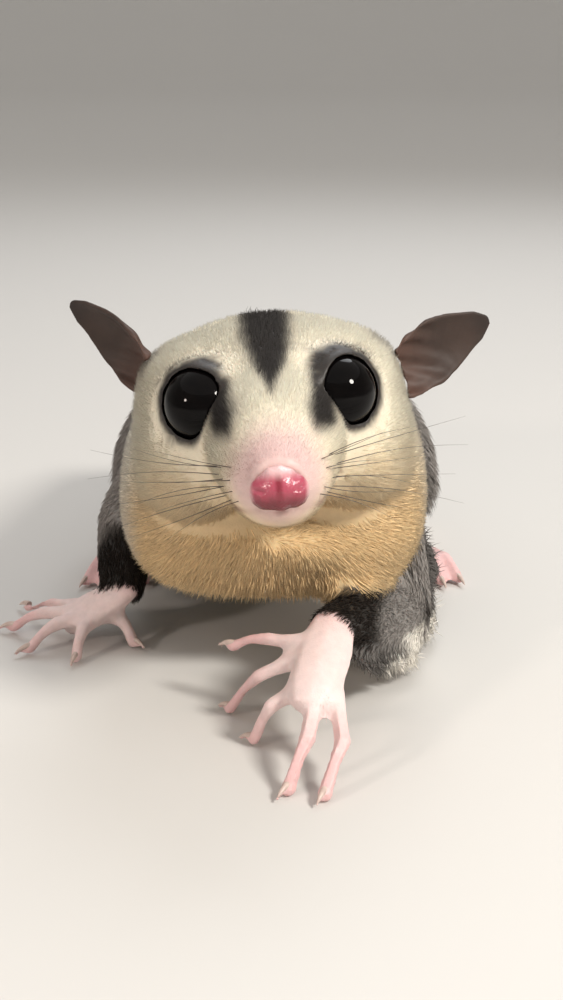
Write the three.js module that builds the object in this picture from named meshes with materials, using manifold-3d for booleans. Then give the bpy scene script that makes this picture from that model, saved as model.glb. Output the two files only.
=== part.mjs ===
// A life-size sugar glider, crouched on all fours with its head up and its left hand reaching forward.
// Millimetres, +Z up. The animal faces -Y, and its left side is at +X. It stands on the plane Z = 0.
// Every size is taken over the coat: the surfaces are those of the fur's tips, not of the skin.
import * as THREE from "three";
import { mergeVertices } from "three/addons/utils/BufferGeometryUtils.js";
import Module from "manifold-3d";

const wasm = await Module();
wasm.setup();

// Driving dimensions
const GAP = 0.3; // clearance that neighbouring pieces keep
const EYE_HEIGHT = 39.5; // eye line above the ground
const HEAD_PITCH = THREE.MathUtils.degToRad(-8); // nose up
const HEAD_ROLL = THREE.MathUtils.degToRad(-4.8); // left side of the face up
const HEAD_YAW = THREE.MathUtils.degToRad(1.5); // nose towards the left side
const EYE_RADIUS = 4.8;
const EYE_SPREAD = 7.7; // eyeball centre from the middle of the face
const EYE_OUTWARD = THREE.MathUtils.degToRad(38);
const EYE_UPWARD = THREE.MathUtils.degToRad(8);
const EAR_THICKNESS = 0.8;
const BODY_END = 85; // rump, behind the eye line
const TAIL_RADIUS = 10.2; // over the long hair
const FINGER_RADIUS = 0.95;
const TOE_RADIUS = 1.15;
const CLAW_LENGTH = 1.9;

// Small tools for turning geometry into solids and back
const v3 = (x, y, z) => new THREE.Vector3(x, y, z);

function solidOf(geometry) {
  const bare = new THREE.BufferGeometry();
  bare.setAttribute("position", geometry.getAttribute("position").clone());
  bare.setIndex(geometry.index);
  const merged = mergeVertices(bare, 1e-4);
  const index = Array.from(merged.index.array);
  const make = (corners) =>
    new wasm.Manifold(
      new wasm.Mesh({
        numProp: 3,
        vertProperties: new Float32Array(merged.attributes.position.array),
        triVerts: new Uint32Array(corners),
      }),
    );
  const made = make(index);
  return made.volume() > 0 ? made : make(index.reverse()); // the other way round if its faces point inwards
}

function geometryOf(solid) {
  const mesh = solid.getMesh();
  const geometry = new THREE.BufferGeometry();
  geometry.setAttribute("position", new THREE.BufferAttribute(mesh.vertProperties, 3));
  geometry.setIndex(new THREE.BufferAttribute(mesh.triVerts, 1));
  geometry.computeVertexNormals();
  return geometry;
}

function largestBody(solid) {
  return solid.decompose().sort((a, b) => b.volume() - a.volume())[0];
}

const joined = (solids) => solids.reduce((whole, piece) => whole.add(piece));

// Closed surface through equal rings of points, with a point at each end.
function skinOver(rings, first, last) {
  const sides = rings[0].length;
  const points = [first, ...rings.flat(), last];
  const index = [];
  for (let k = 0; k < sides; k++) {
    const next = (k + 1) % sides;
    index.push(0, 1 + next, 1 + k);
    for (let r = 0; r + 1 < rings.length; r++) {
      const a = 1 + r * sides;
      const b = a + sides;
      index.push(a + k, a + next, b + k, a + next, b + next, b + k);
    }
    const tail = 1 + (rings.length - 1) * sides;
    index.push(points.length - 1, tail + k, tail + next);
  }
  const geometry = new THREE.BufferGeometry();
  geometry.setAttribute("position", new THREE.Float32BufferAttribute(points.flatMap((p) => p.toArray()), 3));
  geometry.setIndex(index);
  return geometry;
}

// Smooth interpolation of plain numbers, the same way as the curve through the points.
function smoothValues(values) {
  const curve = new THREE.CatmullRomCurve3(values.map((v) => v3(v, 0, 0)), false, "catmullrom", 0.5);
  return (t) => curve.getPoint(t).x;
}

// A limb: a round or flattened bar along a smooth path, with rounded ends.
// flat is height over width, and up is the direction that the flattened height takes.
function limb(points, radii, { sides = 12, steps = 10, flat = 1, up = v3(0, 0, 1), capSteps = 3 } = {}) {
  const path = new THREE.CatmullRomCurve3(points, false, "catmullrom", 0.5);
  const radiusAt = smoothValues(radii);
  const rings = [];
  const ringAt = (centre, tangent, radius) => {
    const side = new THREE.Vector3().crossVectors(tangent, up).normalize();
    const rise = new THREE.Vector3().crossVectors(side, tangent).normalize();
    return Array.from({ length: sides }, (_, k) => {
      const angle = (2 * Math.PI * k) / sides;
      return centre
        .clone()
        .addScaledVector(side, radius * Math.cos(angle))
        .addScaledVector(rise, radius * flat * Math.sin(angle));
    });
  };
  const start = path.getPoint(0);
  const startWay = path.getTangent(0);
  for (let c = 1; c < capSteps; c++) {
    const turn = (Math.PI / 2) * (c / capSteps);
    const centre = start.clone().addScaledVector(startWay, -radii[0] * Math.cos(turn));
    rings.push(ringAt(centre, startWay, radii[0] * Math.sin(turn)));
  }
  for (let s = 0; s <= steps; s++) {
    rings.push(ringAt(path.getPoint(s / steps), path.getTangent(s / steps), radiusAt(s / steps)));
  }
  const end = path.getPoint(1);
  const endWay = path.getTangent(1);
  const endRadius = radii[radii.length - 1];
  for (let c = capSteps - 1; c >= 1; c--) {
    const turn = (Math.PI / 2) * (c / capSteps);
    rings.push(ringAt(end.clone().addScaledVector(endWay, endRadius * Math.cos(turn)), endWay, endRadius * Math.sin(turn)));
  }
  const first = start.clone().addScaledVector(startWay, -radii[0]);
  const last = end.clone().addScaledVector(endWay, endRadius);
  return solidOf(skinOver(rings, first, last));
}

// Everything on the side of a plane that its normal points to, at least `off` away from it.
function halfSpace(point, normal, off = 0) {
  const size = 1000;
  const box = new THREE.BoxGeometry(size, size, size);
  const turn = new THREE.Quaternion().setFromUnitVectors(v3(0, 0, 1), normal.clone().normalize());
  box.translate(0, 0, size / 2 + off);
  box.applyQuaternion(turn);
  box.translate(point.x, point.y, point.z);
  return solidOf(box);
}

// Parts a solid at a plane into [the side the normal points to, the other side], half a gap from the plane each.
function partAt(solid, point, normal) {
  const ahead = solid.intersect(halfSpace(point, normal, GAP / 2));
  const behind = solid.intersect(halfSpace(point, normal.clone().negate(), GAP / 2));
  return [largestBody(ahead), largestBody(behind)];
}

const aboveGround = (solid) => largestBody(solid.intersect(halfSpace(v3(0, 0, 0), v3(0, 0, 1))));

// Head: a smooth field of rounded masses, in the head's own axes, with its origin midway between the eyes.
const headPose = new THREE.Matrix4()
  .makeTranslation(-0.3, 0, EYE_HEIGHT)
  .multiply(new THREE.Matrix4().makeRotationFromEuler(new THREE.Euler(HEAD_PITCH, HEAD_ROLL, HEAD_YAW)));
const fromHead = (p) => p.clone().applyMatrix4(headPose);

const HEAD_MASSES = [
  { at: v3(0, 9.5, -1.9), half: v3(16.6, 14.5, 11.5) }, // braincase
  { at: v3(9.5, 8, -8), half: v3(8.6, 10.5, 8.2), pair: true }, // cheeks
  { at: v3(7.7, 3.5, 0.7), half: v3(6.5, 5.6, 5.9), pair: true }, // brows and eye mounds
  { at: v3(11.4, 7.9, 2.2), half: v3(4.6, 5.4, 4.2), pair: true }, // temples below the ears
  { at: v3(0, -3.5, -4.4), half: v3(8.2, 9.5, 7.6) }, // root of the muzzle
  { at: v3(0, -7.4, -6.0), half: v3(5.9, 8.6, 4.8) }, // muzzle
  { at: v3(0, -12.8, -7.5), half: v3(3.2, 4.4, 3.1) }, // tip of the muzzle
  { at: v3(3.2, -9.4, -8.3), half: v3(3.2, 4.7, 2.8), pair: true }, // whisker pads
  { at: v3(0, -5.6, -11.8), half: v3(4.8, 8.2, 2.6) }, // lower jaw
];
const HEAD_BLEND = 2.6;

function ellipsoidDistance(p, at, half) {
  const x = p.x - at.x;
  const y = p.y - at.y;
  const z = p.z - at.z;
  const k0 = Math.hypot(x / half.x, y / half.y, z / half.z);
  const k1 = Math.hypot(x / half.x ** 2, y / half.y ** 2, z / half.z ** 2);
  return k1 < 1e-9 ? -Math.min(half.x, half.y, half.z) : (k0 * (k0 - 1)) / k1;
}

function smoothMin(a, b, blend) {
  const h = Math.max(blend - Math.abs(a - b), 0) / blend;
  return Math.min(a, b) - (h * h * blend) / 4;
}

function headField(p) {
  let distance = Infinity;
  for (const mass of HEAD_MASSES) {
    const q = mass.pair ? v3(Math.abs(p.x), p.y, p.z) : p;
    const d = ellipsoidDistance(q, mass.at, mass.half);
    distance = distance === Infinity ? d : smoothMin(distance, d, HEAD_BLEND);
  }
  return distance;
}

// Wraps a sphere of rings, close together at the nose, on to the outermost face of a field.
function wrapField(field, centre, { rings = 20, sides = 28, reach = 34, crowd = 1.3 } = {}) {
  const onFace = (way) => {
    let far = reach;
    while (far > 0 && field(centre.clone().addScaledVector(way, far)) > 0) far -= 0.4;
    let near = Math.max(far, 0);
    let out = near + 0.4;
    for (let i = 0; i < 18; i++) {
      const mid = (near + out) / 2;
      if (field(centre.clone().addScaledVector(way, mid)) > 0) out = mid;
      else near = mid;
    }
    return centre.clone().addScaledVector(way, near);
  };
  const all = [];
  for (let r = 1; r < rings; r++) {
    const polar = Math.PI * (r / rings) ** crowd;
    all.push(
      Array.from({ length: sides }, (_, k) => {
        const angle = (-2 * Math.PI * k) / sides;
        const around = Math.sin(polar);
        return onFace(v3(around * Math.cos(angle), -Math.cos(polar), around * Math.sin(angle)));
      }),
    );
  }
  return skinOver(all, onFace(v3(0, -1, 0)), onFace(v3(0, 1, 0)));
}

// Each eye is set by its centre and the way that it looks.
function eyeAxis(side) {
  return v3(
    side * Math.sin(EYE_OUTWARD) * Math.cos(EYE_UPWARD),
    -Math.cos(EYE_OUTWARD) * Math.cos(EYE_UPWARD),
    Math.sin(EYE_UPWARD),
  );
}
const eyeCentre = (side) => v3(side * EYE_SPREAD, 0.2, 0);

function ball(centre, radius, across = 16, down = 11) {
  const sphere = new THREE.SphereGeometry(radius, across, down);
  sphere.translate(centre.x, centre.y, centre.z);
  return solidOf(sphere);
}

// Lids: a soft rim on the eyeball, drawn out to a corner towards the nose.
const LID_OPENING = THREE.MathUtils.degToRad(62);
const LID_CORNER = THREE.MathUtils.degToRad(11);
const LID_THICKNESS = 0.85;

function lidRing(side) {
  const axis = eyeAxis(side);
  const inward = v3(-side, 0, 0);
  inward.addScaledVector(axis, -inward.dot(axis)).normalize();
  const rise = v3(0, 0, 1);
  rise.addScaledVector(axis, -rise.dot(axis)).normalize();
  const turns = 16;
  const sides = 6;
  const rings = Array.from({ length: turns }, (_, t) => {
    const angle = (side * 2 * Math.PI * t) / turns;
    const cornerShare = Math.max(0, Math.cos(angle + side * 0.5)) ** 6;
    const opening = LID_OPENING + LID_CORNER * cornerShare - 0.05 * Math.abs(Math.cos(angle));
    const outwards = inward.clone().multiplyScalar(Math.cos(angle)).addScaledVector(rise, Math.sin(angle));
    const radial = axis.clone().multiplyScalar(Math.cos(opening)).addScaledVector(outwards, Math.sin(opening));
    const along = new THREE.Vector3().crossVectors(axis, outwards).normalize();
    const across = new THREE.Vector3().crossVectors(along, radial).normalize();
    const centre = eyeCentre(side).addScaledVector(radial, EYE_RADIUS + 0.25);
    return Array.from({ length: sides }, (_, k) => {
      const around = (2 * Math.PI * k) / sides;
      return centre
        .clone()
        .addScaledVector(radial, LID_THICKNESS * Math.cos(around))
        .addScaledVector(across, LID_THICKNESS * Math.sin(around));
    });
  });
  const points = rings.flat();
  const index = [];
  for (let t = 0; t < turns; t++) {
    for (let k = 0; k < sides; k++) {
      const a = t * sides + k;
      const b = t * sides + ((k + 1) % sides);
      const c = ((t + 1) % turns) * sides + k;
      const d = ((t + 1) % turns) * sides + ((k + 1) % sides);
      index.push(a, b, c, b, d, c);
    }
  }
  const geometry = new THREE.BufferGeometry();
  geometry.setAttribute("position", new THREE.Float32BufferAttribute(points.flatMap((p) => p.toArray()), 3));
  geometry.setIndex(index);
  return solidOf(geometry);
}

// The mouth: a fine groove below the muzzle, from corner to corner.
const MOUTH_LINE = [
  v3(-7.4, -3.2, -9.6),
  v3(-6.2, -7.2, -10.6),
  v3(-4.0, -11.4, -10.6),
  v3(-1.8, -13.9, -10.3),
  v3(0, -14.6, -10.6),
  v3(1.8, -13.9, -10.3),
  v3(4.0, -11.4, -10.6),
  v3(6.2, -7.2, -10.6),
  v3(7.4, -3.2, -9.6),
];
const MOUTH_GROOVE = 0.42;

// Nose pad: two rounded wings round the nostrils, with a groove between them.
const NOSE_AT = v3(0, -17.0, -7.9);

function nosePad(grow = 0) {
  const lobe = (at, half) => {
    const sphere = new THREE.SphereGeometry(1, 11, 7);
    sphere.scale(half.x + grow, half.y + grow, half.z + grow);
    sphere.translate(at.x, at.y, at.z);
    return solidOf(sphere);
  };
  return joined([
    lobe(NOSE_AT, v3(2.35, 1.9, 2.3)),
    lobe(NOSE_AT.clone().add(v3(1.35, 0.1, -0.35)), v3(1.75, 1.7, 1.75)),
    lobe(NOSE_AT.clone().add(v3(-1.35, 0.1, -0.35)), v3(1.75, 1.7, 1.75)),
  ]);
}

function nose() {
  let pad = nosePad();
  for (const side of [-1, 1]) {
    const nostril = limb(
      [
        NOSE_AT.clone().add(v3(side * 1.55, -2.2, -0.2)),
        NOSE_AT.clone().add(v3(side * 2.1, -1.3, 0.1)),
        NOSE_AT.clone().add(v3(side * 3.4, -0.5, 0.2)),
      ],
      [0.55, 0.5, 0.4],
      { sides: 6, steps: 3, capSteps: 2 },
    );
    pad = pad.subtract(nostril);
  }
  const groove = limb(
    [NOSE_AT.clone().add(v3(0, -2.15, 0.9)), NOSE_AT.clone().add(v3(0, -2.3, -1)), NOSE_AT.clone().add(v3(0, -1.6, -2.6))],
    [0.25, 0.3, 0.35],
    { sides: 5, steps: 3, capSteps: 2, up: v3(1, 0, 0) },
  );
  return largestBody(pad.subtract(groove));
}

// Trunk: stations from the throat to the rump. half is the half-width, low and high the belly and back lines.
const TRUNK = [
  { y: 2.2, half: 14, low: 14.4, high: 27 },
  { y: 4.6, half: 18.2, low: 12.6, high: 32 },
  { y: 9, half: 19.7, low: 11.4, high: 37 },
  { y: 15, half: 20.2, low: 10.8, high: 40.5 },
  { y: 22, half: 20.4, low: 9.6, high: 42.4 },
  { y: 31, half: 19.8, low: 7.6, high: 42.4 },
  { y: 41, half: 19.6, low: 5.6, high: 41 },
  { y: 51, half: 19.6, low: 4.2, high: 39 },
  { y: 61, half: 19, low: 3.2, high: 35.6 },
  { y: 70, half: 17, low: 2.6, high: 30.6 },
  { y: 77, half: 13.6, low: 2.8, high: 25 },
  { y: 82, half: 9.6, low: 3.8, high: 19.8 },
];
const TRUNK_FRONT = v3(0, 1.2, 21);

function trunk(grow = 0) {
  const sides = 24;
  const steps = 20;
  const along = Object.fromEntries(
    ["y", "half", "low", "high"].map((key) => [key, smoothValues(TRUNK.map((s) => s[key]))]),
  );
  const squareness = 2 / 2.25;
  const chestSquareness = 2 / 3.1;
  const rings = Array.from({ length: steps + 1 }, (_, s) => {
    const t = s / steps;
    const low = along.low(t);
    const high = along.high(t);
    const waist = low + (high - low) * 0.44; // widest below the middle
    return Array.from({ length: sides }, (_, k) => {
      const angle = (-2 * Math.PI * k) / sides;
      const c = Math.cos(angle);
      const h = Math.sin(angle);
      const power = h > 0 ? squareness : chestSquareness + (squareness - chestSquareness) * Math.min(1, 2.5 * t);
      const x = (along.half(t) + grow) * Math.sign(c) * Math.abs(c) ** power;
      const rise = h > 0 ? high - waist : waist - low;
      return v3(x, along.y(t), waist + (rise + grow) * Math.sign(h) * Math.abs(h) ** power);
    });
  });
  const front = TRUNK_FRONT.clone().add(v3(0, -grow, 0));
  const back = v3(0, BODY_END + grow, 11.8);
  return solidOf(skinOver(rings, front, back));
}

// Tail: base on the rump, then along the ground with a slight sweep.
const TAIL_PATH = [
  v3(0, 78, 12.5),
  v3(0, 92, 11),
  v3(-0.4, 112, 9.6),
  v3(-1.6, 138, 8.8),
  v3(-3.2, 165, 7.6),
  v3(-5, 192, 5.8),
  v3(-7, 216, 4.2),
];
const TAIL_RADII = [6.5, 8.2, 9.8, TAIL_RADIUS, 9.2, 6.6, 2.6];
const TAIL_CUT = 0.15; // where the brush begins, as a share of the path
const CORE_SHARE = 0.5; // furred core under the locks, as a share of the hair's reach
const LOCK_START = 0.19;
const LOCK_RINGS = 8;
const LOCKS_ROUND = 9;
const LOCK_LENGTH = 26;
const LOCK_WIDTH = 8;
const LOCK_THICKNESS = 2;

// Limbs. Left is +X. The left hand reaches forward, and the right one rests beside the chest.
const ARMS = {
  left: { shoulder: v3(13, 29, 26), elbow: v3(16.8, 13, 7.2), wrist: v3(7.2, -4.8, 12.4) },
  right: { shoulder: v3(-12, 22, 27), elbow: v3(-21.4, 31, 14), wrist: v3(-20.8, 18, 8) },
};
const UPPER_ARM_RADII = [7, 6.2, 4.9];
const FOREARM_RADII = [4.6, 4.3, 3.1];

// Each hand: the middle of the palm, and for each digit its root, its bent middle and its tip, thumb first.
const TIP_HEIGHT = 0.75;
const HANDS = {
  left: {
    palm: v3(5.3, -11.4, 9.2),
    digits: [
      [v3(3.4, -6.8, 11.2), v3(-0.8, -4.2, 10.6), v3(-5, -1.6, 8.4)],
      [v3(2.8, -8.4, 9.8), v3(-1.7, -7.4, 7.2), v3(-5.4, -3.6, TIP_HEIGHT)],
      [v3(3.4, -12.2, 8), v3(-0.3, -12.8, 5.8), v3(-2.2, -11.6, TIP_HEIGHT)],
      [v3(5, -14, 7.7), v3(4, -19.6, 5.4), v3(1.8, -22.8, TIP_HEIGHT)],
      [v3(7.2, -13.6, 7.7), v3(8, -19.4, 4.8), v3(5.8, -24, TIP_HEIGHT)],
    ],
  },
  right: {
    palm: v3(-25.4, 19.4, 4.6),
    digits: [
      [v3(-23.4, 18.4, 4.4), v3(-21, 17.8, 3.8), v3(-19.4, 16.6, TIP_HEIGHT)],
      [v3(-24.6, 17, 4.2), v3(-26, 14.4, 3.8), v3(-26.6, 11.6, TIP_HEIGHT)],
      [v3(-26.8, 17.4, 4.2), v3(-30, 16.4, 3.7), v3(-33.4, 14.4, TIP_HEIGHT)],
      [v3(-27.6, 19.4, 4.1), v3(-32.4, 20.6, 3.6), v3(-37, 21.8, TIP_HEIGHT)],
      [v3(-27.2, 21.6, 4.1), v3(-31.6, 25, 3.4), v3(-36.2, 29.4, TIP_HEIGHT)],
    ],
  },
};

const LEGS = {
  left: { hip: v3(9, 67, 20), knee: v3(19, 46, 16), ankle: v3(19.5, 68, 5.4), toes: v3(21.5, 49, 3) },
  right: { hip: v3(-9, 67, 20), knee: v3(-19, 46, 16), ankle: v3(-19.5, 68, 5.4), toes: v3(-22, 48, 3) },
};
const THIGH_RADII = [11, 10, 6.4];
const SHIN_RADII = [5.4, 4.4, 3.2];

function claw(tip, way) {
  const bend = way.clone().multiplyScalar(0.75).add(v3(0, 0, -0.25)).normalize();
  return limb(
    [
      tip.clone(),
      tip.clone().addScaledVector(bend, CLAW_LENGTH * 0.55).add(v3(0, 0, 0.35)),
      tip.clone().addScaledVector(bend, CLAW_LENGTH).add(v3(0, 0, 0.1)),
    ],
    [0.5, 0.4, 0.12],
    { sides: 3, steps: 1, capSteps: 2 },
  );
}

function digit(points, radius, clawed = true) {
  const [root, middle, tip] = points;
  const fingerPath = [root, root.clone().lerp(middle, 0.55), middle, middle.clone().lerp(tip, 0.5).add(v3(0, 0, 0.5)), tip];
  const finger = limb(fingerPath, [1.25, 0.95, 1.05, 0.82, 1].map((share) => share * radius), {
    sides: 5,
    steps: 4,
    capSteps: 2,
  });
  if (!clawed) return finger;
  const way = tip.clone().sub(middle).setZ(0).normalize();
  return finger.add(claw(tip.clone().addScaledVector(way, radius * 0.4).add(v3(0, 0, 0.35)), way));
}

// Hind foot: a long sole, four toes, and an opposed big toe without a claw on the inner side.
const TOES = [
  { shift: 3.6, reach: 7.6 },
  { shift: 1.9, reach: 9.2 },
  { shift: 0.1, reach: 9.6 },
  { shift: -1.8, reach: 8.4 },
];

function foot({ ankle, toes }, side) {
  const forward = toes.clone().sub(ankle).setZ(0).normalize();
  const outer = v3(-forward.y, forward.x, 0).multiplyScalar(-side * Math.sign(-forward.y || 1)).setX(side * Math.abs(forward.y));
  const sole = limb([ankle.clone().add(v3(0, 1, -2.6)), ankle.clone().lerp(toes, 0.5).setZ(2), toes.clone().setZ(1.9)], [3, 3.1, 3.5], {
    sides: 8,
    flat: 0.7,
    steps: 5,
  });
  const toeSet = TOES.map(({ shift, reach }) => {
    const root = toes.clone().addScaledVector(outer, shift).setZ(2.3);
    const tip = root.clone().addScaledVector(forward, reach).addScaledVector(outer, shift * 0.7).setZ(TIP_HEIGHT + 0.1);
    return digit([root, root.clone().lerp(tip, 0.5).setZ(3), tip], TOE_RADIUS);
  });
  const thumbRoot = ankle.clone().lerp(toes, 0.6).addScaledVector(outer, -1.6).setZ(2.4);
  const thumbTip = thumbRoot.clone().addScaledVector(outer, -6).addScaledVector(forward, 4).setZ(TIP_HEIGHT + 0.2);
  const bigToe = digit([thumbRoot, thumbRoot.clone().lerp(thumbTip, 0.5).setZ(2.6), thumbTip], TOE_RADIUS * 1.1, false);
  return aboveGround(joined([sole, ...toeSet, bigToe]));
}

// Flank membrane: a thin fold of furred skin that hangs from wrist to ankle, with a wavy free edge.
const MEMBRANE_HALF_THICKNESS = 0.9;
const MEMBRANE_WAVES = 4;
const MEMBRANES = {
  left: [v3(9.4, -4.2, 9.2), v3(14, 2, 7.2), v3(17.8, 10, 6), v3(20.6, 20, 7.6), v3(22, 32, 9.4), v3(21.6, 42, 10.6)],
  right: [v3(-20.8, 23, 9.6), v3(-23.2, 30, 9), v3(-23.4, 37, 9.8), v3(-22.6, 43, 10.5)],
};

function membrane(points, side) {
  const path = new THREE.CatmullRomCurve3(points);
  const steps = 15;
  const layers = 4;
  const rings = [];
  for (let s = 0; s <= steps; s++) {
    const t = s / steps;
    const top = path.getPoint(t);
    const way = path.getTangent(t).setZ(0).normalize();
    const outwards = v3(way.y * side, -way.x * side, 0).multiplyScalar(side).setZ(0);
    const swell = Math.sin(Math.PI * Math.min(1, t * 1.02)) ** 0.6;
    const depth = 2.2 + 2.4 * swell;
    const front = [];
    const back = [];
    for (let l = 0; l < layers; l++) {
      const share = l / (layers - 1);
      const wave = Math.sin(2 * Math.PI * MEMBRANE_WAVES * t) * 0.9 * share ** 2;
      const flare = 1.6 * share + wave;
      const thickness = MEMBRANE_HALF_THICKNESS * (1 - 0.45 * share);
      const middle = top.clone().addScaledVector(outwards, flare).add(v3(0, 0, -depth * share));
      front.push(middle.clone().addScaledVector(outwards, thickness));
      back.unshift(middle.clone().addScaledVector(outwards, -thickness));
    }
    rings.push([...front, ...back]);
  }
  const centreOf = (ring) => ring.reduce((sum, p) => sum.add(p), v3(0, 0, 0)).divideScalar(ring.length);
  return solidOf(skinOver(rings, centreOf(rings[0]), centreOf(rings[rings.length - 1])));
}

// Ears: a thin curved paddle, rolled to a cup at its root. Each has its own set, as the animal holds them.
const EARS = {
  left: {
    root: v3(14.6, 9.2, 40.4),
    tip: v3(27.2, 14, 46.4),
    face: v3(0.15, -0.97, -0.1),
    halfWidth: 4.9,
    cup: 1.0,
  },
  right: {
    root: v3(-14.2, 9.2, 40.2),
    tip: v3(-25.5, 14, 48.4),
    face: v3(-0.5, -0.8, -0.35),
    halfWidth: 4.7,
    cup: 1.1,
  },
};

function ear({ root, tip, face, halfWidth, cup }) {
  const lengthWay = tip.clone().sub(root);
  const length = lengthWay.length();
  lengthWay.normalize();
  const facing = face.clone().addScaledVector(lengthWay, -face.dot(lengthWay)).normalize();
  const across = new THREE.Vector3().crossVectors(lengthWay, facing).normalize();
  const steps = 11;
  const columns = 7;
  const profile = (t) => halfWidth * (0.72 + 0.28 * Math.sin(Math.PI * Math.min(1, t * 1.15 + 0.1))) * Math.sqrt(Math.max(0, 1 - t ** 3.4));
  const rings = [];
  for (let s = 0; s <= steps; s++) {
    const t = -0.18 + 1.17 * (s / steps);
    const width = Math.max(profile(Math.max(t, 0)), 0.5);
    const roll = cup * (1 - Math.min(1, Math.max(t, 0)) ** 0.8) + 0.35; // half-angle that the sheet wraps
    const bendRadius = width / roll;
    const middle = root.clone().addScaledVector(lengthWay, length * t).addScaledVector(facing, -1.2 * Math.sin(Math.PI * Math.max(t, 0)));
    const inner = [];
    const outer = [];
    for (let c = 0; c <= columns; c++) {
      const angle = roll * ((2 * c) / columns - 1);
      const spot = (radius) =>
        middle
          .clone()
          .addScaledVector(across, radius * Math.sin(angle))
          .addScaledVector(facing, bendRadius - radius * Math.cos(angle));
      const edge = 1 - 0.35 * Math.abs((2 * c) / columns - 1);
      inner.push(spot(bendRadius - (EAR_THICKNESS / 2) * edge));
      outer.unshift(spot(bendRadius + (EAR_THICKNESS / 2) * edge));
    }
    rings.push([...inner, ...outer]);
  }
  const centreOf = (ring) => ring.reduce((sum, p) => sum.add(p), v3(0, 0, 0)).divideScalar(ring.length);
  const lastCentre = centreOf(rings[rings.length - 1]).addScaledVector(lengthWay, 0.2);
  return solidOf(skinOver(rings, centreOf(rings[0]), lastCentre));
}

// Colours
const paint = (hex, roughness) => new THREE.MeshStandardMaterial({ color: hex, roughness, metalness: 0 });
const CREAM_FUR = paint(0xe9dcc0, 0.95);
const BUFF_FUR = paint(0xdcc08c, 0.95);
const GREY_FUR = paint(0x8d857c, 0.95);
const DARK_FUR = paint(0x3a332f, 0.95);
const EAR_SKIN = paint(0x5a4642, 0.6);
const EYE_BLACK = paint(0x0a0a0c, 0.08);
const NOSE_PINK = paint(0xc4566e, 0.35);
const HAND_PINK = paint(0xe2c3c9, 0.55);

const glider = new THREE.Group();

function place(name, solid, material) {
  const mesh = new THREE.Mesh(geometryOf(largestBody(solid)), material);
  mesh.name = name;
  glider.add(mesh);
}

// Head, with sockets, lids and mouth, cut from the neck by a slanting plane
const NECK_PLANE = v3(0, 13, 32);
const NECK_NORMAL = v3(0, -0.7, 0.71).normalize();
const CHEST_PLANE = v3(0, 22, 27);
const CHEST_NORMAL = v3(0, -0.86, 0.5).normalize();
const WAIST = v3(0, 49, 20);

let headLocal = solidOf(wrapField(headField, v3(0, 2, -3)));
for (const side of [-1, 1]) headLocal = headLocal.add(lidRing(side));
for (const side of [-1, 1]) headLocal = headLocal.subtract(ball(eyeCentre(side), EYE_RADIUS + GAP));
headLocal = headLocal.subtract(limb(MOUTH_LINE, MOUTH_LINE.map(() => MOUTH_GROOVE), { sides: 5, steps: 16, capSteps: 2 }));
headLocal = headLocal.subtract(nosePad(GAP));
const inWorld = (solid) => {
  const geometry = geometryOf(solid);
  geometry.deleteAttribute("normal");
  geometry.applyMatrix4(headPose);
  return solidOf(geometry);
};
const wholeHead = inWorld(headLocal);
const head = wholeHead.intersect(halfSpace(NECK_PLANE, NECK_NORMAL, GAP / 2));
place("head", head, CREAM_FUR);
place("nose", inWorld(nose()), NOSE_PINK);
for (const [name, side] of [["left", 1], ["right", -1]]) {
  place("eye_" + name, inWorld(ball(eyeCentre(side), EYE_RADIUS)), EYE_BLACK);
}

// Ears, cut clear of the head
const fullHead = inWorld(solidOf(wrapField((p) => headField(p) - GAP, v3(0, 2, -3))));
for (const [name, set] of Object.entries(EARS)) {
  place("ear_" + name, ear(set).subtract(fullHead), EAR_SKIN);
}

// Neck, chest and rump
const body = aboveGround(trunk());
const behindHead = body.intersect(halfSpace(NECK_PLANE, NECK_NORMAL.clone().negate(), GAP / 2));
const [neck, behindNeck] = partAt(behindHead, CHEST_PLANE, CHEST_NORMAL);
const [chest, rump] = partAt(behindNeck, WAIST, v3(0, -1, 0));
place("neck", neck, CREAM_FUR);
place("chest", chest, BUFF_FUR);
place("rump", rump, GREY_FUR);
const bodyClear = trunk(GAP);

// Tail: a short furred base, then the brush, whose long hair lies back in overlapping locks
const tailCurve = new THREE.CatmullRomCurve3(TAIL_PATH, false, "catmullrom", 0.5);
const furReach = smoothValues(TAIL_RADII);

function tailFrame(t) {
  const way = tailCurve.getTangent(t);
  const side = new THREE.Vector3().crossVectors(way, v3(0, 0, 1)).normalize();
  return { at: tailCurve.getPoint(t), way, side, rise: new THREE.Vector3().crossVectors(side, way).normalize() };
}

// A point beside the tail's middle line, kept far enough above the ground for the hair to lie on it.
function besideTail(t, angle, radius) {
  const { at, side, rise } = tailFrame(Math.min(t, 1));
  const spot = at.addScaledVector(side, radius * Math.cos(angle)).addScaledVector(rise, radius * Math.sin(angle));
  return spot.setZ(Math.max(spot.z, LOCK_THICKNESS * 0.6));
}

let drawn = 7;
function random() {
  drawn = (drawn * 16807) % 2147483647;
  return drawn / 2147483647;
}

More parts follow.
